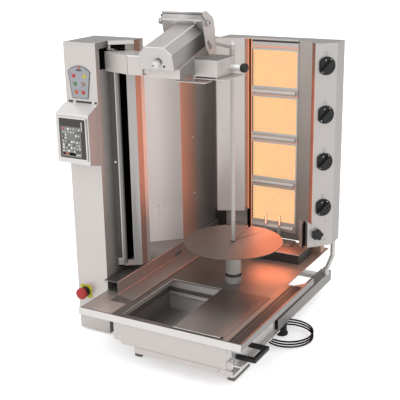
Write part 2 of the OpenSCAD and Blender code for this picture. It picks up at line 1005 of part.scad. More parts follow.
// Arm outside the tower: from the slot to the head
module arm_outline(inset) {
  polygon([[arm_left + inset, tower_y + arm_left_y1 + inset],
    [arm_knee + inset, tower_y + arm_front + inset],
    [head_x, tower_y + arm_front + inset], [head_x, tower_y + arm_back_y - inset],
    [arm_back_x - inset, tower_y + arm_wide_y - inset],
    [arm_corner_x - inset, tower_y + arm_corner_y - inset],
    [arm_left + inset, tower_y + arm_left_y2 - inset]]);
}

module lift_arm() {
  color("#d2cfcb") place()
    difference() {
      translate([0, 0, arm_z]) linear_extrude(arm_h) arm_outline(0);
      translate([0, 0, arm_z + arm_t]) linear_extrude(arm_h - 2 * arm_t) arm_outline(arm_t);
      translate([tower_x2, slant_y1, arm_z - over]) rotate([0, 0, slant_a])
        translate([slot_from + (slot_w - neck_w) / 2, -neck_out, 0])
          cube([neck_w, neck_in, arm_h + 2 * over]);
    }
}

// Cutting head
module motor_outline(inset) {
  polygon([[inset, inset], [motor_w - inset, inset],
    [motor_w - inset, motor_h * motor_side_share],
    [motor_w * motor_top_shares[1], motor_h - inset],
    [motor_w * motor_top_shares[0], motor_h - inset],
    [inset, motor_h * motor_side_share]]);
}

module head_frame() {
  place() translate([head_x, head_y, head_z]) rotate([motor_tilt, 0, 0]) children();
}

module head_housing() {
  color("#cfccc8") head_frame() {
    difference() {
      translate([0, motor_l, 0]) rotate([90, 0, 0]) linear_extrude(motor_l) motor_outline(0);
      translate([0, motor_l - head_wall, 0]) rotate([90, 0, 0])
        linear_extrude(motor_l - 2 * head_wall) motor_outline(head_wall);
      rod_y([motor_w / 2, motor_l - head_wall - over, motor_h / 2], neck_r, head_wall + 2 * over);
    }
    rod_y([motor_w / 2, -stub_l, motor_h / 2 - stub_r], stub_r, stub_l);
  }
}

module head_box() {
  knife_x1 = head_x + motor_w + knife_in;
  knife_y1 = head_y + knife_y;
  knife_z = head_z - knife_drop;
  color("#cdcac6") place() {
    translate([head_x + low_x, head_y, head_z]) rotate([90, 0, 90]) linear_extrude(low_w)
      polygon([[low_y, -low_h], [low_y + low_d, -low_h],
        [low_y + low_d, (low_y + low_d) * tan(motor_tilt) - gap],
        [low_y, low_y * tan(motor_tilt) - gap]]);
    difference() {
      box([knife_x1, knife_y1, knife_z], [knife_w, knife_d, knife_h]);
      box([knife_x1 + head_wall, knife_y1 + head_wall, knife_z + head_wall],
        [knife_w - 2 * head_wall, knife_d - 2 * head_wall, knife_h - 2 * head_wall]);
    }
    box([knife_x1, knife_y1 - slice_drop, knife_z - slice_t - slice_drop],
      [slice_w, slice_l, slice_t]);
    box([knife_x1 + slice_drop, knife_y1 + slice_drop, knife_z - slice_drop],
      [slice_drop, knife_d - 2 * slice_drop, slice_drop]);
    box([knife_x1 + knife_w - 2 * slice_drop, knife_y1 + slice_drop, knife_z - slice_drop],
      [slice_drop, knife_d - 2 * slice_drop, slice_drop]);
    box([knife_x1 - tab_w / 2, knife_y1 - tab_l / 2, knife_z - tab_drop], [tab_w, tab_l, slice_t]);
    box([knife_x1 + slice_drop, knife_y1, knife_z - tab_drop], [slice_t, tab_l / 2, tab_drop]);
    rod_x([knife_x1 + knife_w, knife_y1 + bar_y, knife_z + bar_z], bar_r, bar_l);
  }
}

module grip_knob() {
  color("#1c1c1e") place()
    rod_x([head_x + motor_w + knife_in + knife_w + bar_l, head_y + knife_y + bar_y,
      head_z - knife_drop + bar_z], cap_r, cap_l);
}

module blade() {
  color("silver") head_frame() {
    rod_y([motor_w / 2, motor_l + blade_gap, motor_h / 2], blade_r, blade_t);
    rod_y([motor_w / 2, motor_l - head_wall, motor_h / 2], neck_r - gap, blade_gap + head_wall);
  }
}

// Guard around the blade: a plate across the motor's end with two sides
module hood_side() {
  polygon([[0, -hood_low], [0, hood_bend], [hood_lean, hood_h], [hood_lean, hood_h + hood_rim_r],
    [hood_brow, hood_h], [hood_d - hood_rim_r, hood_cheek], [hood_d, hood_bend - hood_tip],
    [hood_d, hood_brow], [hood_d - hood_nape, -hood_chin], [hood_tip, -hood_chin]]);
}

module blade_hood() {
  x = hood_x;
  y = motor_l + hood_gap;
  color("#c9c6c2") head_frame() {
    difference() {
      translate([x, y, 0]) rotate([90, 0, 90]) linear_extrude(hood_w)
        polygon([[0, 0], [hood_t, 0], [hood_t, hood_bend], [hood_t + hood_lean, hood_h],
          [hood_lean, hood_h], [0, hood_bend]]);
      rod_y([motor_w / 2, y - over, motor_h / 2], neck_r + gap, hood_t + 2 * over);
      rod_x([x - over, y + hood_knob_in, hood_knob_up], hood_stem_r + gap, hood_t + 2 * over);
    }
    rod_x([x, y + hood_lean + hood_t / 2, hood_h], hood_rim_r, hood_w);
    difference() {
      translate([x + hood_w - hood_t, y, 0]) rotate([90, 0, 90]) linear_extrude(hood_t) hood_side();
      translate([x + hood_w - hood_t - over, y + hood_slot_in, hood_slot_up]) rotate([hood_slot_tilt, 0, 0])
        translate([0, -hood_slot_w / 2, -hood_slot_l / 2])
          cube([hood_t + 2 * over, hood_slot_w, hood_slot_l]);
      rod_x([x + hood_w - hood_t - over, y + hood_knob_in_right, hood_knob_up_right],
        hood_stem_r + gap, hood_t + 2 * over);
    }
    difference() {
      translate([x, y, 0]) rotate([90, 0, 90]) linear_extrude(hood_t)
        polygon([[0, 0], [hood_d_left / 2, 0], [hood_d_left, hood_low],
          [hood_d_left, hood_cheek], [hood_lean, hood_h], [0, hood_bend]]);
      rod_x([x - over, y + hood_knob_in, hood_knob_up], hood_stem_r + gap, hood_t + 2 * over);
    }
    for (s = motor_top_shares)
      translate([motor_w * s - hood_gap, motor_l, motor_h - 3 * head_wall])
        cube([2 * hood_gap, hood_gap, head_wall]);
  }
}

module hood_knob(x, in, up, turn) {
  color("silver") head_frame()
    translate([x, motor_l + hood_gap + in, up]) rotate([0, turn, 0]) {
      translate([0, 0, gap]) cylinder(r = hood_knob_r, h = hood_knob_l);
      translate([0, 0, -2 * hood_t]) cylinder(r = hood_stem_r, h = 2 * hood_t + gap);
    }
}

module hood_knob_left() { hood_knob(hood_x, hood_knob_in, hood_knob_up, -90); }
module hood_knob_right() {
  hood_knob(hood_x + hood_w, hood_knob_in_right, hood_knob_up_right, 90);
}

// Column between the tower and the burners, which holds the spit's top
module column_outline(inset) {
  polygon([[col_x1 + inset, col_y1 + 2 * inset], [col_x2 - inset, col_y2 + inset / 2],
    [col_x3 - inset, col_y3 - inset], [col_x1 + inset, col_y3 - inset]]);
}

module spit_column() {
  color("#c8c5c1") place()
    difference() {
      translate([0, 0, trough_top]) linear_extrude(col_top - trough_top) column_outline(0);
      translate([0, 0, trough_top - over]) linear_extrude(col_top - trough_top + over - col_t)
        column_outline(col_t);
    }
  color("#c8c5c1") place()
    box([col_x3 - col_t, col_y3 - col_t, trough_top], [col_flange + col_t, col_t, col_top - trough_top]);
}

module spit_arm() {
  run_x = spit_x - holder_x;
  run_y = spit_y - holder_y;
  turn = atan2(run_y, run_x);
  run = sqrt(run_x * run_x + run_y * run_y);
  mid = boss_z + boss_h / 2;
  color("silver") place() {
    difference() {
      union() {
        translate([holder_x, holder_y, holder_z - holder_h / 2]) rotate([0, 0, turn])
          translate([0, -holder_w / 2, 0]) cube([holder_l, holder_w, holder_h]);
        translate([holder_x, holder_y, mid]) rotate([0, 0, turn]) rotate([0, 90, 0])
          cylinder(r = holder_bar_r, h = run);
        rod([spit_x, spit_y, boss_z], boss_r, boss_h);
      }
      rod([spit_x, spit_y, boss_z - over], top_pin_r + fit, boss_h + 2 * over);
    }
    rod([holder_x, holder_y, col_top], holder_w / 2, holder_z + holder_h / 2 - col_top);
  }
}

module spit_pin() {
  color("silver") place() {
    rod([spit_x, spit_y, rod_top - top_bore + gap], top_pin_r, top_bore + boss_h + gap);
    rod([spit_x, spit_y, boss_z + boss_h + gap], top_knob_r, top_knob_h);
    rod([spit_x, spit_y, boss_z + boss_h + top_knob_h], top_pin_r, top_knob_h);
  }
}

// Spit drive under the table
module drive_box() {
  color("silver") place() {
    difference() {
      box([drive_x, drive_y, drive_z], [drive_w, drive_d, deck_base - drive_z]);
      box([drive_x + drive_t, drive_y + drive_t, drive_z + drive_t],
        [drive_w - 2 * drive_t, drive_d - 2 * drive_t, deck_base - drive_z - 2 * drive_t]);
      rod([spit_x, spit_y, deck_base - 2 * drive_t], journal_r + fit, 2 * drive_t + over);
      rod_x([drive_x + drive_w - drive_t - over, drive_y + gland_y, gland_z], cord_d / 2 + gap,
        drive_t + 2 * over);
    }
    difference() {
      rod([spit_x, spit_y, deck_top], collar_r, collar_h);
      rod([spit_x, spit_y, deck_top - over], journal_r + fit, collar_h + 2 * over);
    }
  }
}

module spit_motor() {
  low = drive_z + drive_t;
  color("dimgray") place() {
    difference() {
      box([spit_x - gear_w / 2, spit_y - gear_w / 4, low], [gear_w, gear_w / 2, gear_h]);
      rod([spit_x, spit_y, low + drive_t], shaft_r + fit, gear_h);
    }
    rod_y([spit_x - shaft_r, spit_y + gear_w / 4, low + gear_h / 2], gear_h / 2 - over, gear_w / 2);
  }
}

module spit_hub() {
  base = deck_top + collar_h + ring_gap;
  color("silver") place() {
    rod([spit_x, spit_y, base], hub_r, disc_z - disc_t - base);
    rod([spit_x, spit_y, base - journal_l], journal_r, journal_l);
    rod([spit_x, spit_y, drive_z + 2 * drive_t + gap], shaft_r, base - journal_l - drive_z - 2 * drive_t);
  }
}

module spit_disc() {
  color("#8d8580") place()
    difference() {
      rod([spit_x, spit_y, disc_z - disc_t], disc_r, disc_t);
      rod([spit_x, spit_y, disc_z - disc_t - over], seat_r - 2 * fit, disc_t + 2 * over);
      translate([spit_x, spit_y, disc_z - disc_t - over]) rotate([0, 0, slit_turn])
        linear_extrude(disc_t + 2 * over)
          polygon([[-slit_w / 2, seat_r], [slit_w / 2, seat_r], [slit_w / 2, disc_r - 2 * slit_mouth],
            [slit_mouth, disc_r + over], [-slit_mouth, disc_r + over],
            [-slit_w / 2, disc_r - 2 * slit_mouth]]);
    }
}

module spit_rod() {
  color("silver") place()
    difference() {
      union() {
        rod([spit_x, spit_y, disc_z - disc_t], seat_r - 2 * fit - gap, disc_t + seat_h);
        rod([spit_x, spit_y, disc_z], rod_r, rod_top - disc_z);
        rod([spit_x, spit_y, rod_top - rod_head_h], rod_head_r, rod_head_h);
      }
      rod([spit_x, spit_y, rod_top - top_bore], top_pin_r + fit, top_bore + over);
    }
}

// Drawer that pulls out to the right, its handle and the pan in it
module drawer() {
  low_x = bay_x + bay_t + beside;
  color("silver") place() {
    difference() {
      box([low_x, drawer_y, drawer_z], [drawer_x2 - low_x - face_t, drawer_d, drawer_h]);
      box([low_x + drawer_t, drawer_y + drawer_t, drawer_z + drawer_t],
        [drawer_x2 - low_x - face_t - 2 * drawer_t, drawer_d - 2 * drawer_t, drawer_h]);
    }
    box([drawer_x2 - face_t, drawer_y - beside, drawer_z], [face_t, drawer_d + 2 * beside, drawer_h]);
  }
}

module drawer_handle() {
  reach = right_reach - drawer_x2;
  color("#1d1d1f") place() {
    for (y = [bow_y, bow_y + bow_l - bow_t])
      box([drawer_x2, y, bow_z], [reach, bow_t, bow_h]);
    box([right_reach - bow_t, bow_y, bow_z], [bow_t, bow_l, bow_h]);
  }
}

module catch_pan() {
  low_x = bay_x + bay_t + beside + drawer_t + pan_inset;
  low_y = drawer_y + drawer_t + pan_inset;
  low_z = drawer_z + drawer_t;
  d = drawer_d - 2 * drawer_t - 2 * pan_inset;
  color("#bdb9b4") place() {
    difference() {
      box([low_x, low_y, low_z], [pan_w, d, pan_h]);
      box([low_x + pan_t, low_y + pan_t, low_z + pan_t], [pan_w - 2 * pan_t, d - 2 * pan_t, pan_h]);
      box([low_x + pan_slot_x, low_y + pan_slot_y, low_z - over],
        [pan_slot_w, pan_slot_l, pan_t + 2 * over]);
    }
    for (y = [low_y + pan_t, low_y + d - pan_t - pan_rim])
      box([low_x + pan_t, y, low_z + pan_h - pan_t - pan_rim], [pan_w - 2 * pan_t, pan_rim, pan_t]);
  }
}

module cover_plate() {
  low_y = mouth_y - cover_lap;
  d = mouth_d + cover_lap + cover_lap_back;
  color("#a9a5a0") place() {
    box([cover_x, low_y, deck_top + gap], [cover_w, d, cover_t]);
    box([cover_x, low_y, deck_top + gap], [cover_w, cover_lip_t, cover_lip]);
  }
}

module latch_lever() {
  axis_x = bay_x2 + latch_w - 2 * pin_r;
  axis_z = latch_z + latch_h / 2;
  mid = latch_y + latch_d / 2;
  color("#c9c9c9") place() {
    rod_y([axis_x, latch_y, axis_z], pin_r, latch_d);
    box([axis_x, mid - lever_d / 2, axis_z - lever_t / 2], [lever_l, lever_d, lever_t]);
  }
}

// Burner housing
module stove_outline(inset) {
  polygon([[box_x + inset, tile_y + frame_t + inset],
    [cheek_x - inset / 2, cheek_y + inset + inset / 2], [front_x, front_y + inset + inset / 2],
    [side_x - inset, side_y + inset / 2], [side_x - inset, stove_back - inset],
    [box_x + inset, stove_back - inset]]);
}

module burner_housing() {
  wing_x1 = tile_x - wing_x;
  right_x = box_x;
  end_x = tile_x - tile_lap - channel_w;
  end_y = tile_y - wing_y * (tile_x - end_x) / wing_x;
  color("#cecbc7") place() {
    difference() {
      translate([0, 0, stove_base]) linear_extrude(stove_top - stove_base) stove_outline(0);
      translate([0, 0, stove_base + skin]) linear_extrude(stove_top - stove_base - 2 * skin)
        stove_outline(skin);
      for (k = [0 : tile_n - 1])
        translate([front_x, front_y, dial_z(k)]) rotate([0, 0, dial_a])
          rod_y([dial_w / 2, -over, 0], spindle_r + 2 * gap, 4 * skin);
      rod_y([manifold_x, stove_back - 2 * skin, inlet_z], inlet_r + gap, 3 * skin);
    }
    box([wing_x1, stove_back - back_w + skin, stove_base], [right_x - wing_x1, back_w - skin, skin]);
    box([wing_x1, stove_back - skin, stove_base], [right_x - wing_x1, skin, stove_top - stove_base]);
    box([wing_x1, stove_back - back_w + skin, stove_top - skin],
      [right_x - wing_x1, back_w - skin, skin]);
    box([wing_x1, stove_back - back_w + skin, stove_base],
      [skin, back_w - skin, stove_top - stove_base]);
    translate([0, 0, wing_base]) linear_extrude(stove_top - wing_base)
      polygon([[end_x, end_y], [wing_x1, tile_y - wing_y],
        [wing_x1, tile_y - wing_y + skin], [end_x - skin, end_y + skin],
        [end_x - skin, stove_back - back_w + 2 * skin], [end_x, stove_back - back_w + 2 * skin]]);
    box([end_x - skin, stove_back - back_w + skin, stove_base],
      [channel_w + skin, skin, stove_top - stove_base]);
    translate([0, 0, wing_base]) linear_extrude(stove_top - wing_base)
      polygon([[wing_x1, tile_y - wing_y], [wing_x1 + skin, tile_y - wing_y],
        [wing_x1 + skin, stove_back - back_w + 2 * skin], [wing_x1, stove_back - back_w + 2 * skin]]);
    translate([0, 0, stove_top - skin]) linear_extrude(skin)
      polygon([[wing_x1, tile_y - wing_y], [tile_x, tile_y], [right_x, tile_y],
        [right_x, stove_back - back_w + 2 * skin], [wing_x1, stove_back - back_w + 2 * skin]]);
  }
}

// Tiles stand behind the windows of the burner frame
module burner_tiles() {
  color("#f2a04c") place()
    for (k = [0 : tile_n - 1])
      box([tile_x, tile_y + frame_t, tile_top - k * tile_pitch - tile_h], [tile_w, tile_t, tile_h]);
}

module burner_frame() {
  low = stove_base + skin;
  gap_mid = (tile_pitch - tile_h) / 2;
  color("#9a9591") place() {
    difference() {
      box([tile_x - tile_lap, tile_y, low],
        [tile_w + 2 * tile_lap, frame_t, stove_top - skin - low]);
      for (k = [0 : tile_n - 1])
        box([tile_x + tile_lap, tile_y - over, tile_top - k * tile_pitch - tile_h + tile_lap],
          [tile_w - 2 * tile_lap, frame_t + 2 * over, tile_h - 2 * tile_lap]);
    }
    box([tile_x - tile_lap, tile_y + frame_t, low],
      [frame_t, stove_back - skin - tile_y - frame_t, stove_top - skin - low]);
    for (k = [0 : tile_n - 1])
      rod_x([tile_x, tile_y - tube_back, tile_top - k * tile_pitch - tile_h - gap_mid], tube_r, tile_w);
    for (share = prong_shares)
      box([tile_x + share * tile_w, tile_y - tube_back - tube_r - prong_out, stove_base + 2 * skin],
        [prong_w, prong_d, prong_h]);
  }
}

// Control panel with the gusset and the guide of the star knob
function dial_z(k) = stove_base + dial_up - k * dial_pitch;

module on_dial() {
  place() translate([front_x, front_y, 0]) rotate([0, 0, dial_a]) children();
}

module control_panel() {
  color("#c6c3bf") on_dial() {
    difference() {
      translate([0, -dial_t, stove_base]) cube([dial_w, dial_t, stove_top - stove_base]);
      for (k = [0 : tile_n - 1])
        rod_y([dial_w / 2, -dial_t - over, dial_z(k)], spindle_r + gap, dial_t + 2 * over);
      rod_y([star_in, -dial_t - over, stove_base + star_up], spindle_r + gap, dial_t + 2 * over);
    }
    rotate([90, 0, 0]) linear_extrude(dial_t)
      polygon([[0, stove_base], [0, stove_base + gusset_h - gusset_w], [-gusset_w, stove_base + gusset_h],
        [-gusset_w, stove_base]]);
    translate([-gusset_w - 2 * guide_w, -guide_w, stove_base + guide_up]) difference() {
      cube([2 * guide_w, 2 * guide_w, gusset_h - guide_up]);
      translate([guide_t, -over, -over])
        cube([2 * guide_w - 2 * guide_t, 2 * guide_w - guide_t, gusset_h + over]);
    }
  }
}

// A gas knob: a skirt, a round body and a grip across it
module gas_knob(k) {
  color("#1a1a1b") on_dial()
    translate([dial_w / 2, -dial_t, dial_z(k)]) rotate([90, 0, 0]) {
      translate([0, 0, gap]) cylinder(r = knob_r, h = knob_skirt);
      translate([0, 0, knob_skirt]) rotate([0, 0, 45])
        translate([-knob_r * 3 / 4, -grip_w / 2, 0]) cube([knob_r * 3 / 2, grip_w, knob_l - knob_skirt]);
      translate([0, 0, -spindle_l]) cylinder(r = spindle_r, h = spindle_l + knob_skirt);
    }
}

module gas_knob_1() { gas_knob(0); }
module gas_knob_2() { gas_knob(1); }
module gas_knob_3() { gas_knob(2); }
module gas_knob_4() { gas_knob(3); }

module star_knob() {
  color("#1a1a1b") on_dial()
    translate([star_in, -dial_t, stove_base + star_up]) rotate([90, 0, 0]) {
      translate([0, 0, gap]) {
        cylinder(r = star_r - star_lobe_r / 2, h = star_l);
        for (k = [0 : 4])
          rotate([0, 0, 72 * k]) translate([star_r - star_lobe_r, 0, 0])
            cylinder(r = star_lobe_r, h = star_l);
      }
      translate([0, 0, gap - dial_t]) cylinder(r = spindle_r, h = dial_t);
    }
}

// Gas pipe inside the housing: a riser, four valves, four jets and the inlet
module gas_manifold() {
  low = stove_base + skin;
  color("#b08a4a") place() {
    rod([manifold_x, manifold_y, low], manifold_r, dial_z(0) + 2 * valve_r - low);
    for (k = [0 : tile_n - 1]) {
      translate([front_x, front_y, dial_z(k)]) rotate([0, 0, dial_a]) difference() {
        rod_y([dial_w / 2, spindle_l - 4 * skin, 0], valve_r, spindle_l);
        rod_y([dial_w / 2, spindle_l - 4 * skin - over, 0], spindle_r + fit, spindle_l / 2);
      }
      rod_x([manifold_x - jet_l, manifold_y, dial_z(k)], jet_r, jet_l);
    }
    rod_y([manifold_x, manifold_y, inlet_z], inlet_r, stove_back + inlet_l - spigot_l - manifold_y);
    rod_y([manifold_x, manifold_y, inlet_z], spigot_r, stove_back + inlet_l - manifold_y);
  }
}

// Bent tube that carries the housing's right rear corner on the rail
module support_tube() {
  color("silver") place() {
    rod([tube_x, leg_top_y, leg_bend_z], leg_r, stove_base - leg_bend_z);
    translate([tube_x, leg_top_y, leg_bend_z]) sphere(r = leg_r + gap);
    bar_between([tube_x, leg_top_y, leg_bend_z],
      [leg_low_x, leg_low_y, foot_h + rail + leg_foot_h / 2], leg_r);
    rod([leg_low_x, leg_low_y, foot_h + rail], leg_r + 3 * over, leg_foot_h);
  }
}

module bar_between(a, b, r) {
  d = b - a;
  l = norm(d);
  translate(a) rotate([0, acos(d[2] / l), atan2(d[1], d[0])]) cylinder(r = r, h = l);
}

// Cord
module cable_gland() {
  color("#222222") place()
    translate([drive_x + drive_w, drive_y + gland_y, gland_z]) rotate([0, 90, 0])
      union() {
        cylinder(r = gland_r, h = gland_l / 2);
        cylinder(r = gland_r * 3 / 4, h = gland_l);
      }
}

// Smooth curve through the route's points
function spline(p, k, t) =
  let (a = p[max(k - 1, 0)], b = p[k], c = p[k + 1], d = p[min(k + 2, len(p) - 1)])
  b + (c - a) * t / 2 + (2 * a - 5 * b + 4 * c - d) * t * t / 2
    + (3 * b - a - 3 * c + d) * t * t * t / 2;

function unit(v) = v / norm(v);
function side_of(t) = abs(t[2]) > 0.95 ? unit(cross(t, [0, 1, 0])) : unit(cross(t, [0, 0, 1]));

// Tube swept along points: rings of n sides and two flat ends
module sweep(p, r, n) {
  m = len(p);
  tangent = [for (k = [0 : m - 1]) unit(p[min(k + 1, m - 1)] - p[max(k - 1, 0)])];
  rings = [for (k = [0 : m - 1]) let (s = side_of(tangent[k]), u = cross(s, tangent[k]))
    for (j = [0 : n - 1]) p[k] + r * (cos(360 * j / n) * s + sin(360 * j / n) * u)];
  sides = [for (k = [0 : m - 2]) for (j = [0 : n - 1]) let (i = (j + 1) % n)
    each [[k * n + j, k * n + i, (k + 1) * n + i], [k * n + j, (k + 1) * n + i, (k + 1) * n + j]]];
  ends = [[for (j = [n - 1 : -1 : 0]) j], [for (j = [0 : n - 1]) (m - 1) * n + j]];
  polyhedron(points = rings, faces = concat(sides, ends));
}

module power_cord() {
  run = concat(route, [coil_point(0)]);
  color("#161616")
    sweep(concat([for (k = [0 : len(run) - 2], t = [0, 1 / 2]) spline(run, k, t)],
      [run[len(run) - 1]]), cord_d / 2, 8);
}

function coil_point(a) =
  [coil_x + coil_r * cos(coil_start - a), coil_y + coil_r * sin(coil_start - a),
    coil_high - coil_pitch * a / 360];

coil_last = coil_point(coil_turn);
coil_out = [sin(coil_start - coil_turn), -cos(coil_start - coil_turn), 0];
coil_path = concat([for (k = [0 : coil_steps]) coil_point(coil_turn * k / coil_steps)],
  [for (s = [1 / 3, 2 / 3, 1]) coil_last + s * coil_end_l * coil_out]);

module cord_coil() {
  color("#161616") sweep(coil_path, cord_d / 2, coil_sides);
}

// Least distance between turns of the coil, less one cord's thickness
coil_gap = min([for (k = [0 : coil_steps], j = [k + 12 : coil_steps])
  norm(coil_path[k] - coil_path[j])]) - cord_d;

module power_plug() {
  at = coil_last + coil_end_l * coil_out;
  turn = atan2(coil_out[1], coil_out[0]);
  color("#1b1b1b")
    translate([at[0], at[1], plug_r]) rotate([0, 0, turn]) rotate([0, 90, 0]) {
      translate([plug_r - coil_low, 0, 0]) cylinder(r = cord_d / 2, h = plug_l / 4);
      translate([0, 0, plug_l / 8]) cylinder(r = plug_r, h = plug_l * 7 / 8);
      for (s = [-1, 1])
        translate([0, s * plug_pin_apart / 2, plug_l]) cylinder(r = plug_pin_r, h = plug_pin_l);
    }
}

echo(coil_gap = coil_gap, coil_start_point = coil_point(0), coil_out = coil_out);

side_rails();
cross_rails();
rubber_feet();
chassis();
front_panel();
table_top();
catch_trough();
tower_shell();
case_screws();
key_panel();
key_1();
key_2();
key_3();
key_4();
key_5();
key_6();
hmi_housing();
hmi_screen();
stop_collar();
stop_button();
guide_rods();
lift_screw();
lift_motor();
carriage();
lift_arm();
head_housing();
head_box();
grip_knob();
blade();
blade_hood();
hood_knob_left();
hood_knob_right();
spit_column();
spit_arm();
spit_pin();
drive_box();
spit_motor();
spit_hub();
spit_disc();
spit_rod();
drawer();
drawer_handle();
catch_pan();
cover_plate();
latch_lever();
burner_housing();
control_panel();
burner_tiles();
burner_frame();
gas_manifold();
support_tube();
gas_knob_1();
gas_knob_2();
gas_knob_3();
gas_knob_4();
star_knob();
cable_gland();
power_cord();
cord_coil();
power_plug();
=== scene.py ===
import json
import math
import random

import bmesh
import bpy
from mathutils import Matrix, Vector


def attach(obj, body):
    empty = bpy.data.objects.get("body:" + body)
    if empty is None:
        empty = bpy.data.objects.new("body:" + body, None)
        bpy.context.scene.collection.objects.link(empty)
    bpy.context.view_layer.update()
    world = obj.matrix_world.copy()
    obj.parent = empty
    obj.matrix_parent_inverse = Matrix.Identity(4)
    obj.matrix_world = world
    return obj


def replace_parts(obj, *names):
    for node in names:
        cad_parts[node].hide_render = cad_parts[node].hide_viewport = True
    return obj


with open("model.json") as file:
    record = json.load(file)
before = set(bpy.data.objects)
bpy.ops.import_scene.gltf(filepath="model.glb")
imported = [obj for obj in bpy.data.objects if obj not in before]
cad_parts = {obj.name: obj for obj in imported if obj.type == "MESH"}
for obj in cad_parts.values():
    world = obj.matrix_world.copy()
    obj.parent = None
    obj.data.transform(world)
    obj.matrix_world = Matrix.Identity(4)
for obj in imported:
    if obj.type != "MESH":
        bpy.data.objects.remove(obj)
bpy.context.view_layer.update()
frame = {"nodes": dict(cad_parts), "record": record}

record = frame["record"]
nodeBody = {n: b for b, nodes in record["behaviour"]["bodies"].items() for n in nodes}
middle = dict(x=237, y=440)  # millimetres from the table's left front corner to the frame's origin


def at(x, y, z):
    # millimetres from the table's left edge, its front lip and the floor, to the frame in metres
    return Vector(((x - middle["x"]) / 1000, (y - middle["y"]) / 1000, z / 1000))


# camera, and the cord's path
camera = dict(spot=(1.3608, -2.4539, 1.3431), yaw=29.457, pitch=17.714, roll=-1.036, lens=77.25)


def addCamera(c):
    yaw, pitch, roll = (math.radians(c[k]) for k in ("yaw", "pitch", "roll"))
    ahead = Vector((-math.sin(yaw) * math.cos(pitch), math.cos(yaw) * math.cos(pitch), -math.sin(pitch)))
    right = Vector((math.cos(yaw), math.sin(yaw), 0))
    up = right.cross(ahead)
    r2 = right * math.cos(roll) + up * math.sin(roll)
    u2 = up * math.cos(roll) - right * math.sin(roll)
    data = bpy.data.cameras.new("camera")
    data.lens, data.sensor_width = c["lens"], 36
    data.clip_end = 50
    cam = bpy.data.objects.new("camera", data)
    bpy.context.collection.objects.link(cam)
    turn = Matrix((r2, u2, -ahead)).transposed().to_4x4()
    cam.matrix_world = Matrix.Translation(c["spot"]) @ turn
    bpy.context.scene.camera = cam


addCamera(camera)

cord = dict(radius=0.003, coilRadius=0.081, pitch=0.0093, turn=1028, start=140, middle=(0.316, -0.006),
            low=0.0034, tail=0.076,
            route=[(196, 12, 104), (204, 12, 103.5), (217, 12, 99), (229, 12, 87), (234, 12, 70),
                   (235, 13, 60), (236, 16, 48), (240, 24, 38), (247.5, 38.4, 31.2)])


def coilPoint(a):
    t = math.radians(cord["start"] - a)
    mx, my = cord["middle"]
    return Vector((mx + cord["coilRadius"] * math.cos(t), my + cord["coilRadius"] * math.sin(t),
                   cord["low"] + cord["pitch"] * (cord["turn"] - a) / 360))


def through(points, steps):
    # smooth curve through points
    out = []
    for k in range(len(points) - 1):
        a, b = points[max(k - 1, 0)], points[k]
        c, d = points[k + 1], points[min(k + 2, len(points) - 1)]
        for j in range(steps):
            t = j / steps
            out.append(b + (c - a) * t / 2 + (2 * a - 5 * b + 4 * c - d) * t * t / 2
                       + (3 * b - a - 3 * c + d) * t ** 3 / 2)
    return out + [points[-1]]


def tubePiece(name, points, radius, sides):
    curve = bpy.data.curves.new(name, "CURVE")
    curve.dimensions = "3D"
    curve.bevel_depth, curve.bevel_resolution, curve.use_fill_caps = radius, sides, True
    line = curve.splines.new("POLY")
    line.points.add(len(points) - 1)
    for p, q in zip(line.points, points):
        p.co = (*q, 1)
    obj = bpy.data.objects.new(name, curve)
    bpy.context.collection.objects.link(obj)
    return obj


endAngle = math.radians(cord["start"] - cord["turn"])
coilEnd = coilPoint(cord["turn"])
coilOut = Vector((math.sin(endAngle), -math.cos(endAngle), 0))
cordPoints = through([Vector(p) / 1000 for p in cord["route"]] + [coilPoint(0)], 5)
cordPoints += [coilPoint(cord["turn"] * k / 200) for k in range(1, 201)]
cordPoints += [coilEnd + coilOut * cord["tail"] * k / 8 for k in range(1, 9)]
cordLength = sum((b - a).length for a, b in zip(cordPoints, cordPoints[1:]))
powerLead = tubePiece("powerLead", cordPoints, cord["radius"], sides=4)
print("cord length", round(cordLength, 3))


# shaders
class Sock:
    # one socket of a material, so that sums are written as sums
    def __init__(self, kit, out):
        self.kit, self.out = kit, out

    def math(self, op, a, b=0.0):
        return self.kit.node("Math", {"operation": op}, a, b)

    def __add__(self, o):
        return self.math("ADD", self, o)

    def __radd__(self, o):
        return self.math("ADD", o, self)

    def __sub__(self, o):
        return self.math("SUBTRACT", self, o)

    def __rsub__(self, o):
        return self.math("SUBTRACT", o, self)

    def __mul__(self, o):
        return self.math("MULTIPLY", self, o)

    def __rmul__(self, o):
        return self.math("MULTIPLY", o, self)

    def __truediv__(self, o):
        return self.math("DIVIDE", self, o)

    def __rtruediv__(self, o):
        return self.math("DIVIDE", o, self)

    def fract(self):
        return self.math("FRACT", self)

    def abs(self):
        return self.math("ABSOLUTE", self)


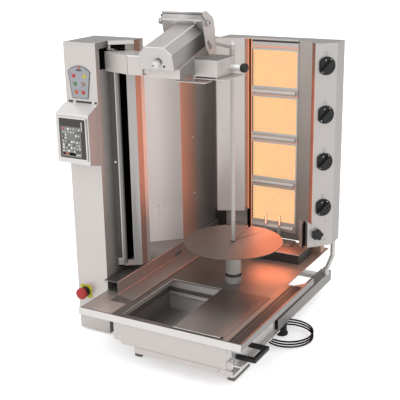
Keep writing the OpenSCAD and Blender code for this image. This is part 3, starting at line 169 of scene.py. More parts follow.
class Kit:
    # builds the nodes of one material or of the world
    def __init__(self, owner):
        owner.use_nodes = True
        self.owner, self.tree = owner, owner.node_tree
        self.tree.nodes.clear()

    def node(self, kind, sets, *values, out=0, **named):
        n = self.tree.nodes.new("ShaderNode" + kind)
        for k, v in sets.items():
            setattr(n, k, v)
        pairs = list(enumerate(values)) + [(k.replace("_", " "), v) for k, v in named.items()]
        for k, v in pairs:
            self.feed(n.inputs[k], v)
        return Sock(self, n.outputs[out])

    def feed(self, socket, v):
        if isinstance(v, Sock):
            self.tree.links.new(v.out, socket)
        elif isinstance(v, tuple) and len(v) == 3 and socket.type == "RGBA":
            socket.default_value = (*v, 1)
        else:
            socket.default_value = v

    def mix(self, factor, a, b):
        n = self.tree.nodes.new("ShaderNodeMix")
        n.data_type = "RGBA"
        for k, v in ((0, factor), (6, a), (7, b)):
            self.feed(n.inputs[k], v)
        return Sock(self, n.outputs[2])

    def place(self, scale=(1, 1, 1), shift=(0, 0, 0)):
        spot = self.node("TexCoord", {}, out=3)
        return self.node("Mapping", {}, spot, shift, (0, 0, 0), scale)

    def split(self, vector):
        n = self.tree.nodes.new("ShaderNodeSeparateXYZ")
        self.feed(n.inputs[0], vector)
        return [Sock(self, n.outputs[k]) for k in range(3)]

    def noise(self, scale, detail=3.0, rough=0.5, spread=(1, 1, 1), shift=(0, 0, 0)):
        spot = self.place(spread, shift)
        return self.node("TexNoise", {}, spot, Scale=scale, Detail=detail, Roughness=rough)

    def ease(self, value, low, high):
        # 0 below low, 1 above high
        return self.node("MapRange", {"interpolation_type": "SMOOTHSTEP"}, value, low, high, 0.0, 1.0)

    def bump(self, height, strength, distance=0.001):
        return self.node("Bump", {}, Strength=strength, Distance=distance, Height=height)

    def finish(self, surface):
        kind = "OutputWorld" if isinstance(self.owner, bpy.types.World) else "OutputMaterial"
        n = self.tree.nodes.new("ShaderNode" + kind)
        self.tree.links.new(surface.out, n.inputs[0])
        return self.owner


def shader(kit, **named):
    return kit.node("BsdfPrincipled", {}, **named)


# colour and roughness of each look of brushed steel; many looks are lighter or darker copies of one steel,
# each a tone painted for how light falls on the faces given it, as painted highlight or painted shade, and
# the orange ones are the burners' light painted in as a reflection; other is a colour that it turns to along
# an axis, between two places in working mm, and then is one that it has short of such a stretch along
# another axis: these fades too are painted shade, painted light and the burners' painted reflected glow
steel = dict(
    satin=dict(colour=(0.64, 0.6, 0.58), rough=0.38),
    soft=dict(colour=(0.5, 0.48, 0.465), rough=0.38),
    pale=dict(colour=(0.74, 0.715, 0.7), rough=0.4),
    mild=dict(colour=(0.55, 0.52, 0.505), rough=0.36),
    side=dict(colour=(0.455, 0.43, 0.415), rough=0.38),
    dial=dict(colour=(0.56, 0.53, 0.51), rough=0.38),
    wing=dict(colour=(0.66, 0.63, 0.615), rough=0.38),
    guard=dict(colour=(0.5, 0.48, 0.47), rough=0.36, axis=0, low=205, high=262, other=(0.27, 0.26, 0.25)),
    housing=dict(colour=(0.62, 0.59, 0.57), rough=0.38, axis=1, low=255, high=385,
                 other=(0.24, 0.225, 0.215)),
    # table: dark grey standing in for the dark reflection on the top, turning orange at the back right, near the
    # burners, as their light painted in as a reflection
    table=dict(colour=(0.19, 0.2, 0.195), rough=0.4, axis=0, low=310, high=430,
               other=(0.5, 0.34, 0.27), then=(1, 415, 560, (0.185, 0.17, 0.157))),
    # disc: orange-brown on its right side, the burners' light painted in as a reflection; the tint turns with
    # the disc
    disc=dict(colour=(0.19, 0.168, 0.156), rough=0.4, axis=0, low=385, high=460, other=(0.16, 0.105, 0.08)),
    dark=dict(colour=(0.09, 0.085, 0.08), rough=0.4),
    dim=dict(colour=(0.22, 0.21, 0.2), rough=0.38),
    sideEdge=dict(colour=(0.37, 0.36, 0.35), rough=0.4),
    chamfer=dict(colour=(0.52, 0.5, 0.485), rough=0.38, axis=1, low=255, high=365,
                 other=(0.1, 0.095, 0.09)),
    gutter=dict(colour=(0.05, 0.068, 0.074), rough=0.4, axis=1, low=120, high=420,
                other=(0.018, 0.035, 0.04)),
    glint=dict(colour=(0.75, 0.5, 0.42), rough=0.4),
    flange=dict(colour=(0.087, 0.083, 0.077), rough=0.4, axis=1, low=330, high=470,
                other=(0.3, 0.29, 0.28)),
    shade=dict(colour=(0.42, 0.4, 0.385), rough=0.38, axis=1, low=222, high=330,
               other=(0.05, 0.047, 0.045)),
    upright=dict(colour=(0.84, 0.83, 0.82), rough=0.5, metal=0.1, axis=0, low=-40, high=42,
                 other=(0.5, 0.49, 0.48)),
    rail=dict(colour=(0.27, 0.26, 0.25), rough=0.4),
    # orange on the burner housing's facet that faces the tower: the burners' light painted in as a reflection
    ember=dict(colour=(0.3, 0.14, 0.105), rough=0.4),
    rose=dict(colour=(0.45, 0.38, 0.355), rough=0.4),
    # orange-brown on the tower's right wall beside the burners, their light painted in as a reflection,
    # grey-blue again over the back of the wall
    bronze=dict(colour=(0.26, 0.195, 0.17), rough=0.4, axis=1, low=319, high=322, other=(0.38, 0.43, 0.44)),
    bright=dict(colour=(0.7, 0.68, 0.665), rough=0.2),
    edge=dict(colour=(0.85, 0.84, 0.83), rough=0.3),
    wall=dict(colour=(0.36, 0.345, 0.33), rough=0.4, axis=1, low=195, high=240, other=(0.15, 0.143, 0.137)),
    flank=dict(colour=(0.3, 0.28, 0.265), rough=0.4),
    trough=dict(colour=(0.3, 0.28, 0.265), rough=0.4),
    # orange on the column's right face near its front: the burners' light painted in as a reflection, grey
    # further back
    column=dict(colour=(0.6, 0.38, 0.3), rough=0.4, axis=1, low=700, high=760, other=(0.46, 0.43, 0.41)),
    cheek=dict(colour=(0.32, 0.3, 0.29), rough=0.6, metal=0.1, axis=2, low=300, high=850,
               other=(0.48, 0.455, 0.44)),
    # orange that glows a little, on the ledges over the tiles and the strips beside them: the burners' light
    # painted in
    flame=dict(colour=(0.75, 0.34, 0.2), rough=0.4, glowColour=(0.34, 0.12, 0.06)),
    frame=dict(colour=(0.62, 0.6, 0.585), rough=0.4),
    cover=dict(colour=(0.31, 0.285, 0.27), rough=0.38, axis=1, low=50, high=265, other=(0.14, 0.112, 0.1)),
    apron=dict(colour=(0.39, 0.325, 0.3), rough=0.4, axis=0, low=30, high=90, other=(0.56, 0.48, 0.45)),
    # orange for the gutter's rim and the rear step's top: the burners' light painted in as a reflection
    emberTop=dict(colour=(0.55, 0.3, 0.22), rough=0.4),
    strip=dict(colour=(0.34, 0.31, 0.28), rough=0.4, axis=1, low=120, high=420, other=(0.26, 0.2, 0.17)),
    pan=dict(colour=(0.22, 0.2, 0.19), rough=0.4, axis=0, low=165, high=300, other=(0.6, 0.57, 0.55)),
    lilac=dict(colour=(0.29, 0.33, 0.34), rough=0.4))


def steelMaterial(name):
    # brushed sheet: fine lines along the grain, faint smears and a little wear
    look, grain = name.split("_")
    facts = steel[look]
    kit = Kit(bpy.data.materials.new("steel_" + name))
    along = {"x": (6, 900, 900), "y": (900, 6, 900), "z": (900, 900, 6), "round": (300, 300, 300)}[grain]
    lines = kit.noise(1.0, 2.0, 0.6, spread=along)
    smear = kit.noise(7.0, 3.0, 0.55)
    spots = kit.noise(55.0, 4.0, 0.6)
    tone = 0.5 + (lines - 0.5) * 0.35 + (smear - 0.5) * 0.4 + (spots - 0.5) * 0.25

    def pair(colour):
        return kit.mix(tone, tuple(c * 0.9 for c in colour), tuple(min(c * 1.07, 0.96) for c in colour))

    shade = pair(facts["colour"])
    # a look's emission colour is a painted glow
    paintedGlow = dict(Emission_Color=facts["glowColour"], Emission_Strength=1.0) if "glowColour" in facts else {}
    # the fades along an axis paint shade, light and the burners' reflected glow into the colour
    if "axis" in facts:
        spot = kit.split(kit.place())[facts["axis"]]
        low, high = (at(*[v] * 3)[facts["axis"]] for v in (facts["low"], facts["high"]))
        shade = kit.mix(kit.ease(spot, low, high), shade, pair(facts["other"]))
    if "then" in facts:
        axis, start, stop, colour = facts["then"]
        spot = kit.split(kit.place())[axis]
        low, high = (at(*[v] * 3)[axis] for v in (start, stop))
        shade = kit.mix(kit.ease(spot, low, high), pair(colour), shade)
    roughness = facts["rough"] + (lines - 0.5) * 0.1 + (smear - 0.5) * 0.12
    normal = kit.bump(lines + spots * 0.3, 0.06, 0.0004)
    return kit.finish(shader(kit, Base_Color=shade, Metallic=facts.get("metal", 0.55), Roughness=roughness,
                             Normal=normal, Specular_IOR_Level=0.2, **paintedGlow))


# colour, roughness, tooth of the surface
plain = dict(
    black=((0.013, 0.013, 0.014), 0.4, 0.12), rubber=((0.02, 0.02, 0.02), 0.72, 0.25),
    cordBlack=((0.008, 0.008, 0.008), 0.5, 0.15), motor=((0.035, 0.036, 0.038), 0.5, 0.12),
    yellow=((0.55, 0.5, 0.03), 0.45, 0.06), red=((0.42, 0.03, 0.028), 0.4, 0.05),
    keyRed=((0.6, 0.03, 0.025), 0.4, 0.04), keyYellow=((0.62, 0.55, 0.02), 0.4, 0.04),
    keyGreen=((0.01, 0.25, 0.07), 0.4, 0.04), keyGrey=((0.3, 0.2, 0.17), 0.4, 0.04),
    keyOrange=((0.62, 0.1, 0.045), 0.4, 0.04), white=((0.8, 0.8, 0.78), 0.5, 0.05),
    slate=((0.33, 0.345, 0.37), 0.5, 0.05), slateEdge=((0.09, 0.085, 0.085), 0.5, 0.05),
    # gleam is a near white for painted highlights; hollow is a near black for painted shade in holes, slits,
    # recesses and the tower's inside, and also for black marks on the display
    gleam=((0.9, 0.89, 0.88), 0.4, 0.02), mark=((0.3, 0.295, 0.29), 0.55, 0.05),
    brass=((0.62, 0.42, 0.16), 0.35, 0.1), hollow=((0.006, 0.0055, 0.005), 0.9, 0.1),
    # glassRim, the display's dark edge, also stands in for shade as a black band over the top burner and on the
    # rear step's front
    glassRim=((0.045, 0.042, 0.04), 0.4, 0.03),
    keyPale=((0.5, 0.52, 0.5), 0.5, 0.03), keySlate=((0.2, 0.2, 0.195), 0.5, 0.03),
    keyMid=((0.36, 0.35, 0.34), 0.5, 0.03), keyRose=((0.4, 0.12, 0.07), 0.5, 0.03))


def plainMaterial(name):
    # moulded or painted: fine orange peel, dull patches where it is handled
    colour, rough, tooth = plain[name]
    kit = Kit(bpy.data.materials.new(name))
    grain = kit.noise(900.0, 3.0)
    patch = kit.noise(30.0, 3.0)
    shade = kit.mix(patch, tuple(c * 0.85 for c in colour), tuple(min(c * 1.12, 1) for c in colour))
    roughness = rough + (patch - 0.5) * 0.2
    normal = kit.bump(grain, tooth, 0.0005)
    metal = 1.0 if name == "brass" else 0.0
    return kit.finish(shader(kit, Base_Color=shade, Metallic=metal, Roughness=roughness, Normal=normal,
                             Specular_IOR_Level=0.08 if name in ("hollow", "cordBlack") else 0.4))


tile = dict(wide=0.0125, high=0.0062, deep=(0.96, 0.5, 0.26), warm=(1.0, 0.82, 0.32), rose=(1.0, 0.72, 0.36),
            glow=0.97)


def tileMaterial():
    # perforated ceramic: rows of bright dashes over a deeper glow, yellower in the middle
    kit = Kit(bpy.data.materials.new("tileGlow"))
    x, z = kit.split(kit.place())[::2]
    row = z / tile["high"]
    shift = (row - row.fract()) * 0.5
    cellX = ((x / tile["wide"] + shift).fract() - 0.5).abs()
    cellZ = (row.fract() - 0.5).abs()
    dash = (1.0 - kit.ease(cellX, 0.24, 0.42)) * (1.0 - kit.ease(cellZ, 0.16, 0.34))
    blotch = kit.noise(14.0, 3.0, 0.6)
    face = kit.mix(kit.ease(blotch, 0.4, 0.62), tile["rose"], tile["warm"])
    face = kit.mix(1.0 - dash, face, tile["deep"])
    return kit.finish(shader(kit, Base_Color=(0.06, 0.03, 0.02), Roughness=0.9, Emission_Color=face,
                             Emission_Strength=tile["glow"]))


def screenMaterial():
    kit = Kit(bpy.data.materials.new("screenGlass"))
    dust = kit.noise(60.0, 4.0)
    shade = kit.mix(dust, (0.03, 0.026, 0.023), (0.042, 0.037, 0.033))
    return kit.finish(shader(kit, Base_Color=shade, Roughness=0.25 + dust * 0.1, Coat_Weight=0.2,
                             Coat_Roughness=0.1))


matCache = {}


def material(name):
    if name not in matCache:
        if name == "tileGlow":
            matCache[name] = tileMaterial()
        elif name == "screenGlass":
            matCache[name] = screenMaterial()
        elif name in plain:
            matCache[name] = plainMaterial(name)
        else:
            matCache[name] = steelMaterial(name)
    return matCache[name]


# mesh helpers
def setMaterial(obj, name):
    obj.data.materials.clear()
    obj.data.materials.append(material(name))


def smooth(obj, angle=35):
    obj.data.polygons.foreach_set("use_smooth", [True] * len(obj.data.polygons))
    obj.data.set_sharp_from_angle(angle=math.radians(angle))


def bevel(obj, width, segments=2, angle=30):
    m = obj.modifiers.new("edge", "BEVEL")
    m.width, m.segments = width, segments
    m.limit_method, m.angle_limit = "ANGLE", math.radians(angle)
    m.harden_normals = True


def settle(obj, body, look, edge=0.0, segments=2):
    if look:
        setMaterial(obj, look)
    if obj.type == "MESH":
        smooth(obj)
        if edge:
            bevel(obj, edge, segments)
    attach(obj, body)
    return obj


def meshPiece(name, points, faces, look=None):
    data = bpy.data.meshes.new(name)
    data.from_pydata([tuple(p) for p in points], [], faces)
    data.validate()
    obj = bpy.data.objects.new(name, data)
    bpy.context.collection.objects.link(obj)
    b = bmesh.new()
    b.from_mesh(data)
    bmesh.ops.recalc_face_normals(b, faces=b.faces)
    b.to_mesh(data)
    b.free()
    if look:
        setMaterial(obj, look)
    return obj


def lathe(name, profile, origin, axis, segments=40, look=None):
    # profile of (radius, along) turned about axis
    axis = axis.normalized()
    side = Vector((0, 0, 1)) if abs(axis.z) < 0.9 else Vector((1, 0, 0))
    side = (side - axis * side.dot(axis)).normalized()
    other = axis.cross(side)
    points, faces = [], []
    for r, h in profile:
        for k in range(segments):
            t = 2 * math.pi * k / segments
            points.append(origin + axis * h + (side * math.cos(t) + other * math.sin(t)) * r)
    rows = len(profile)
    for j in range(rows - 1):
        for k in range(segments):
            i = (k + 1) % segments
            faces.append([j * segments + k, j * segments + i, (j + 1) * segments + i, (j + 1) * segments + k])
    if profile[0][0] > 0:
        faces.append(list(range(segments))[::-1])
    if profile[-1][0] > 0:
        faces.append(list(range((rows - 1) * segments, rows * segments)))
    obj = meshPiece(name, points, faces, look)
    b = bmesh.new()
    b.from_mesh(obj.data)
    bmesh.ops.remove_doubles(b, verts=b.verts, dist=1e-6)
    bmesh.ops.recalc_face_normals(b, faces=b.faces)
    b.to_mesh(obj.data)
    b.free()
    return obj


def rounded(w, h, r, steps=5):
    # outline of a box with round corners about its middle
    out = []
    for k, (sx, sy) in enumerate(((1, 1), (-1, 1), (-1, -1), (1, -1))):
        for j in range(steps + 1):
            t = math.pi / 2 * (k + j / steps)
            out.append((sx * (w / 2 - r) + r * math.cos(t), sy * (h / 2 - r) + r * math.sin(t)))
    return out


def dress(node, look, edge):
    # the CAD solid's own shape, with its edges eased as folded or machined metal has them
    source = frame["nodes"][node]
    data = bpy.data.meshes.new(node + "Mesh")
    b = bmesh.new()
    b.from_mesh(source.data)
    b.transform(source.matrix_world)
    bmesh.ops.remove_doubles(b, verts=b.verts, dist=2e-6)
    bmesh.ops.dissolve_limit(b, angle_limit=math.radians(0.6), verts=b.verts, edges=b.edges)
    b.to_mesh(data)
    b.free()
    obj = bpy.data.objects.new(node + "Skin", data)
    bpy.context.collection.objects.link(obj)
    settle(obj, nodeBody[node], look, edge)
    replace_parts(obj, node)
    return obj


def paint(obj, look, test):
    # gives the faces that pass the test a finish of their own; places in working millimetres
    finish = material(look)
    if finish not in list(obj.data.materials):
        obj.data.materials.append(finish)
    index = list(obj.data.materials).index(finish)
    hits = 0
    for p in obj.data.polygons:
        c = p.center
        if test((c.x * 1000 + middle["x"], c.y * 1000 + middle["y"], c.z * 1000), p.normal):
            p.material_index = index
            hits += 1
    if not hits:
        print("no face painted", obj.name, look)


def joined(name, parts):
    # one mesh from several, each of which keeps its own finish
    out = bpy.data.meshes.new(name)
    b = bmesh.new()
    looks = []
    for part in parts:
        start = len(b.faces)
        b.from_mesh(part.data)
        b.faces.ensure_lookup_table()
        own = list(part.data.materials)
        for f in b.faces[start:]:
            m = own[f.material_index] if own else None
            if m not in looks:
                looks.append(m)
            f.material_index = looks.index(m)
    b.to_mesh(out)
    b.free()
    for m in looks:
        if m:
            out.materials.append(m)
    for part in parts:
        bpy.data.objects.remove(part)
    obj = bpy.data.objects.new(name, out)
    bpy.context.collection.objects.link(obj)
    return obj


def onNode(name, parts, node, edge=0.0, segments=2):
    # parts as one mesh that moves with a CAD solid
    return settle(joined(name, parts), nodeBody[node], None, edge, segments)


def turned(x, y, angle):
    # places along a face that starts at x, y and runs at angle in plan: a along it, b behind it, z up
    c, s = math.cos(math.radians(angle)), math.sin(math.radians(angle))
    return lambda a, b, z: at(x + a * c - b * s, y + a * s + b * c, z)


def slab(name, spot, a, b, z, look):
    # box between pairs of a, b and z in the frame of spot
    return sheetOn(name, spot, [(a[0], z[0]), (a[1], z[0]), (a[1], z[1]), (a[0], z[1])], b, look)


def sheetOn(name, spot, outline, b, look):
    # thin plate: an outline of (a, z) between two depths b in the frame of spot
    points = [spot(a, d, z) for d in b for a, z in outline]
    n = len(outline)
    faces = [list(range(n))[::-1], list(range(n, 2 * n))]
    faces += [[k, (k + 1) % n, (k + 1) % n + n, k + n] for k in range(n)]
    return meshPiece(name, points, faces, look)


def ringOn(name, points, radius, look, closed=True, sides=8):
    # round bead along points, as a mesh
    n = len(points)
    rows, faces = [], []
    for k in range(n):
        before = points[(k - 1) % n] if closed or k else points[0]
        after = points[(k + 1) % n] if closed or k < n - 1 else points[-1]
        along = (after - before).normalized()
        side = along.cross(Vector((0.21, 0.35, 0.91))).normalized()
        up = along.cross(side)
        rows += [points[k] + (side * math.cos(t) + up * math.sin(t)) * radius
                 for t in (2 * math.pi * j / sides for j in range(sides))]
    for k in range(n if closed else n - 1):
        i = (k + 1) % n
        faces += [[k * sides + j, k * sides + (j + 1) % sides, i * sides + (j + 1) % sides, i * sides + j]
                  for j in range(sides)]
    if not closed:
        faces += [list(range(sides))[::-1], list(range((n - 1) * sides, n * sides))]
    return meshPiece(name, rows, faces, look)


def circleOn(spot, a, b, z, r, count=24):
    return [spot(a + r * math.cos(2 * math.pi * k / count), b, z + r * math.sin(2 * math.pi * k / count))
            for k in range(count)]


def outward(spot):
    return (spot(0, -1, 0) - spot(0, 0, 0)).normalized()


plainFront = turned(0, 0, 0)
slantFace = turned(-1, 240, math.degrees(math.atan2(48, 67)))
columnFace = turned(-58, 515, math.degrees(math.atan2(93, 100)))
dialFace = turned(513, 717, math.degrees(math.atan2(60, 56)))
towardFront, towardRight, upward = Vector((0, -1, 0)), Vector((1, 0, 0)), Vector((0, 0, 1))


def slabs(pieces, spot=plainFront):
    # boxes from a table of each one's ends along a, b and z, and its look
    return [slab(name, spot, *facts) for name, facts in pieces.items()]


screw = dict(radius=0.0031, high=0.0016)


def screwHead(name, place, axis, look="bright_round", size=1.0):
    r, h = screw["radius"] * size, screw["high"] * size
    profile = [(r, -0.0002), (r, h * 0.5), (r * 0.75, h), (r * 0.38, h * 1.05),
               (r * 0.36, h * 0.5), (0, h * 0.5)]
    return lathe(name, profile, place, axis, 20, look)


# cord and plug
plug = dict(high=0.018, neck=0.012, pinApart=0.0095, pinStart=0.052,
            profile=[(0.0034, -0.001), (0.0056, 0.001), (0.0056, 0.004), (0.0145, 0.012), (0.0165, 0.02),
                     (0.0162, 0.03), (0.0178, 0.036), (0.0178, 0.05), (0.0168, 0.0518), (0, 0.052)],
            pin=[(0.0024, 0), (0.0024, 0.0175), (0.0016, 0.019), (0, 0.019)])


def buildPlug():
    base = coilEnd + coilOut * cord["tail"]
    base.z = plug["high"]
    body = lathe("plugBody", plug["profile"], base, coilOut)
    for v in body.data.vertices:  # the lead enters low on the grip
        along = (v.co - base).dot(coilOut)
        if along < plug["neck"]:
            v.co.z -= (plug["high"] - cord["low"]) * (1 - max(along, 0) / plug["neck"])
    settle(body, "machine", "black", 0.0006)
    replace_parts(body, "power_plug")
    pins = []
    for s in (-1, 1):
        side = Vector((-coilOut.y, coilOut.x, 0)) * s * plug["pinApart"]
        pin = lathe("plugPin%d" % (s + 2), plug["pin"], base + coilOut * plug["pinStart"] + side, coilOut, 20)
        pins.append(settle(pin, "machine", "bright_round"))
    return [body] + pins


def buildCord():
    setMaterial(powerLead, "cordBlack")
    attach(powerLead, "machine")
    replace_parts(powerLead, "power_cord", "cord_coil")
    buildPlug()


buildCord()
print("cord done")

# the CAD solids with their finishes; several steel looks among them fade across the solid as painted shade,
# painted light and the burners' painted reflected glow
finishes = dict(
    side_rails="mild_y", cross_rails="mild_x", chassis="satin_x", front_panel="satin_x",
    table_top="table_x", catch_trough="trough_y", tower_shell="satin_z", hmi_housing="pale_z",
    guide_rods="dark_z", lift_screw="dark_round", lift_motor="motor", carriage="dark_z",
    lift_arm="satin_x", head_housing="housing_y", head_box="satin_x", blade="bright_round",
    blade_hood="guard_x", spit_column="satin_z", spit_arm="mild_x", drive_box="soft_x", spit_motor="motor",
    spit_hub="satin_z", spit_disc="disc_round", spit_rod="soft_z", drawer="table_y",
    drawer_handle="black", catch_pan="pan_x", cover_plate="cover_y", latch_lever="bright_x",
    burner_housing="satin_z", control_panel="dial_z", burner_tiles="tileGlow", burner_frame="frame_x",
    gas_manifold="brass", support_tube="bright_z", cable_gland="black", key_panel="slate",
    hmi_screen="screenGlass")
eased = dict(drawer_handle=0.004, table_top=0.0012, head_housing=0.0018, lift_arm=0.0012, tower_shell=0.001,
             burner_tiles=0.0, hmi_housing=0.0016, blade_hood=0.0006, support_tube=0.0008, front_panel=0.0008,
             drawer=0.0012, head_box=0.0012)

skins = {node: dress(node, look, eased.get(node, 0.0007)) for node, look in finishes.items()}
print("solids dressed")

# faces of a solid given a lighter, darker or orange finish of their own: painted shade in recesses, under
# overhangs and on sides turned from the light, painted highlights on faces and edges that catch it, and the
# burners' light painted in as an orange reflection
paintedLightAndShade = [
    ("tower_shell", "wall_z", lambda c, n: n.x > 0.9 and -2 < c[0] < 0),
    ("tower_shell", "bronze_z", lambda c, n: n.x > 0.9 and c[0] > 60),
    ("tower_shell", "hollow", lambda c, n: n.x > 0.9 and c[0] < -120 or (n.x < -0.9 and -5 < c[0] < -2)
            or (n.y < -0.9 and 330 < c[1] < 340) or (n.z < -0.9 and c[2] > 990)),
    ("hmi_housing", "lilac_z", lambda c, n: n.x > 0.9 and c[0] > -3),
    ("spit_column", "upright_z", lambda c, n: 0.4 < n.x < 0.9 and n.y < -0.5),
    ("spit_column", "column_z", lambda c, n: n.x > 0.9 and c[0] > 30),
    ("spit_column", "flank_z", lambda c, n: n.y < -0.9 and c[1] > 860),
    ("burner_housing", "cheek_z", lambda c, n: -0.75 < n.x < -0.4 and n.y < -0.6),
    ("burner_housing", "ember_z", lambda c, n: n.x < -0.76 and n.y < -0.4),
    ("burner_housing", "side_z", lambda c, n: n.x > 0.9 and c[0] > 560),
    ("burner_housing", "wing_z", lambda c, n: n.x > 0.2 and n.y < -0.8 and c[0] < 225),
    ("burner_housing", "hollow", lambda c, n: n.y < -0.9 and c[0] < 245 and c[1] > 790),
    ("table_top", "pale_x", lambda c, n: n.y < -0.5 and c[1] < 12),
    ("table_top", "sideEdge_y", lambda c, n: n.x > 0.9 and c[0] > 580),
    ("catch_trough", "flange_x", lambda c, n: n.z > 0.9 and c[2] > 215),
    ("tower_shell", "soft_x", lambda c, n: n.z > 0.9 and c[2] > 990),
    ("burner_housing", "soft_x", lambda c, n: n.z > 0.9 and c[2] > 900),
    ("catch_pan", "mild_x", lambda c, n: n.y < -0.9 and c[1] > 250),
    ("hmi_housing", "edge_x", lambda c, n: 0.3 < n.z < 0.99 and n.y < -0.2),
    ("head_housing", "shade_y", lambda c, n: n.x > 0.9),
    ("head_housing", "chamfer_y", lambda c, n: 0.3 < n.x < 0.9),
    ("blade_hood", "satin_z", lambda c, n: n.x > 0.9),
    ("side_rails", "rail_y", lambda c, n: n.z > 0.9),
    ("side_rails", "sideEdge_y", lambda c, n: n.x > 0.9),
    ("cross_rails", "gleam", lambda c, n: (n.y < -0.9 or n.z > 0.9) and c[1] > 700),
    ("drawer", "edge_y", lambda c, n: n.x > 0.9 and c[0] > 480),
    ("chassis", "gleam", lambda c, n: n.x > 0.9 and c[0] > 480),
    ("tower_shell", "guard_z", lambda c, n: 0.4 < n.x < 0.8 and n.y < -0.6),
    ("head_box", "rail_x", lambda c, n: n.z > 0.9 and c[2] > 950 or (n.x > 0.9 and c[0] < 300)),
    ("control_panel", "hollow", lambda c, n: abs(n.z) < 0.1 and outward(dialFace).dot(n) > 0.9
            and c[2] < 320 and c[0] < 500)]

for node, look, test in paintedLightAndShade:
    paint(skins[node], look, test)

# screws
screwSpots = dict(
    front=[(-107, 170, 15), (-10, 170, 15), (149, 8, 117)],
    towerTop=[(-107, 179), (-10, 179), (-107, 332), (-10, 332), (57, 332), (-63, 332)], capHigh=1001,
    column=[(47, 327), (69, 327), (47, 358), (69, 358)],
    columnSide=[(40, 700, 591), (40, 702, 372)],
    dial=[(15, 236), (53.5, 252), (52.7, 321)], dialFront=-3,
    slanted=[(3.7, 243.3, 602.4), (3.3, 243.1, 257.4)],
    display=[(-92, 170, 811.5), (-19, 170, 811.5)],
    trough=[(39, 659, 217), (37, 854, 217)],
    housing=[(569, 803, 402)])


def buildScrews():
    s = screwSpots
    parts = [screwHead("frontScrew", at(*p), towardFront) for p in s["front"]]
    parts += [screwHead("capScrew", at(*p, s["capHigh"]), upward) for p in s["towerTop"]]
    for a, z in s["column"]:
        parts.append(screwHead("columnScrew", columnFace(a, 0, z), outward(columnFace), size=1.1))
    parts += [screwHead("dialScrew", dialFace(a, s["dialFront"], z), outward(dialFace), "soft_round")
              for a, z in s["dial"]]
    parts += [screwHead("slotScrew", at(*p), outward(slantFace), size=1.3) for p in s["slanted"]]
    parts += [screwHead("columnSideScrew", at(*p), towardRight, size=1.3) for p in s["columnSide"]]
    parts += [screwHead("displayScrew", at(*p), towardFront + upward * 0.3, size=1.8) for p in s["display"]]
    parts += [screwHead("troughScrew", at(*p), upward, size=1.2) for p in s["trough"]]
    parts += [screwHead("sideScrew", at(*p), towardRight) for p in s["housing"]]
    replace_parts(onNode("caseScrews", parts, "case_screws"), "case_screws")


buildScrews()
print("screws done")

# tower: lips and ends of the arm's slot, seam of the cap, seam over the display; strips along the slot are
# painted darker and lighter as its shade and highlights, with a pinkish plate at its foot, black bands under
# the cap's flap and under the slanted face are painted shade, and the flap is near white as a painted highlight
towerTrim = dict(
    slotPost=((-0.7, 15), (-0.7, 0.4), (262, 972), "dark_z"),
    slotLipEdge=((15, 18.6), (-0.6, 0.4), (256, 972), "satin_z"),
    slotLipInner=((18.6, 27), (-0.3, 1.2), (240, 972), "rail_z"),
    slotLipShade=((27, 31.5), (0.2, 1.2), (240, 972), "dark_z"),
    slotLipRight=((54, 56), (-0.6, 0.4), (231, 975), "soft_z"),
    slotFoot=((18.2, 53.8), (1, 9), (232, 252), "rose_x"),
    # a black line under the slanted face: painted shadow
    slantFootShadow=((0.5, 20), (-0.3, 0.4), (231, 236), "hollow"),
    capSlot=((8, 54), (-0.4, 0.4), (975.5, 988), "hollow"),
    capFlap=((3, 66), (-0.6, 0.4), (989, 999), "gleam"))
displaySeam = dict(displaySeam=((-116, -5), (169.2, 170.4), (809, 815), "glassRim"))
capSeam = dict(high=993.4, bead=0.0004, outline=[(-125.2, 169.8), (-0.8, 169.8), (-0.8, 240), (66.2, 287.8),
                                                 (66.2, 341.2), (-125.2, 341.2)])


def buildTowerTrim():
    seam = ringOn("towerCapSeam", [at(x, y, capSeam["high"]) for x, y in capSeam["outline"]], capSeam["bead"],
                  "soft_x")
    onNode("towerTrim", [seam] + slabs(towerTrim, slantFace) + slabs(displaySeam), "tower_shell")


buildTowerTrim()

# key panel: raised dark rim, a lamp above the keys, and a dot and bars on each key
keyPanel = dict(middle=-68, wide=84, low=823, tall=104, shoulder=910, arch=17, archSteps=12, front=168.5,
                foot=[(-98.5, 823.6), (-37.5, 823.6)], rim=0.0011)
panelLamp = dict(spot=(-66, 168.4, 921), profile=[(0.0034, 0), (0.0034, 0.0006), (0.002, 0.0018), (0, 0.002)])
panelBar = dict(outline=[(-78, 911), (-58, 911), (-58, 915), (-62, 917), (-74, 917), (-78, 915)],
                ends=(167.9, 168.6))
keyRows = dict(highShares=(0.69, 0.45, 0.19), inShares=(0.25, 0.3, 0.34),
               colours=["keyRed", "keyYellow", "keyGreen", "keyGrey", "keyOrange", "keyRed"])
keyDot = dict(shift=(-8.6, 5.2), profile=[(0.0021, 0), (0.0019, 0.0006), (0, 0.0008)])
keyCap = dict(front=168.4, profile=[(0.0059, 0.0002), (0.0059, -0.0009), (0.0054, -0.0013), (0.0044, -0.0011),
                                    (0.0034, -0.0011), (0.003, -0.0013), (0, -0.0013)],
              markHalf=2.6, markEnds=(166.7, 167.2), markLows=(-1.8, 0.9), markTall=0.9)


def keyPlace(k):
    row, side = k // 2, (-1, 1)[k % 2]
    x = keyPanel["middle"] + side * (0.5 - keyRows["inShares"][row]) * keyPanel["wide"]
    return x, keyPanel["low"] + keyRows["highShares"][row] * keyPanel["tall"]


def buildKey(k):
    x, z = keyPlace(k)
    node = "key_%d" % (k + 1)
    half = keyCap["markHalf"]
    colour = keyRows["colours"][k]
    cap = lathe("keyCap", keyCap["profile"], at(x, keyCap["front"], z), -towardFront, 28, colour)
    marks = [slab("keyMark", plainFront, (x - half, x + half), keyCap["markEnds"],
                  (z + h, z + h + keyCap["markTall"]),
                  "keyGrey" if colour == "keyYellow" else "keyRose") for h in keyCap["markLows"]]
    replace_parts(onNode("key%dCap" % (k + 1), [cap] + marks, node), node)


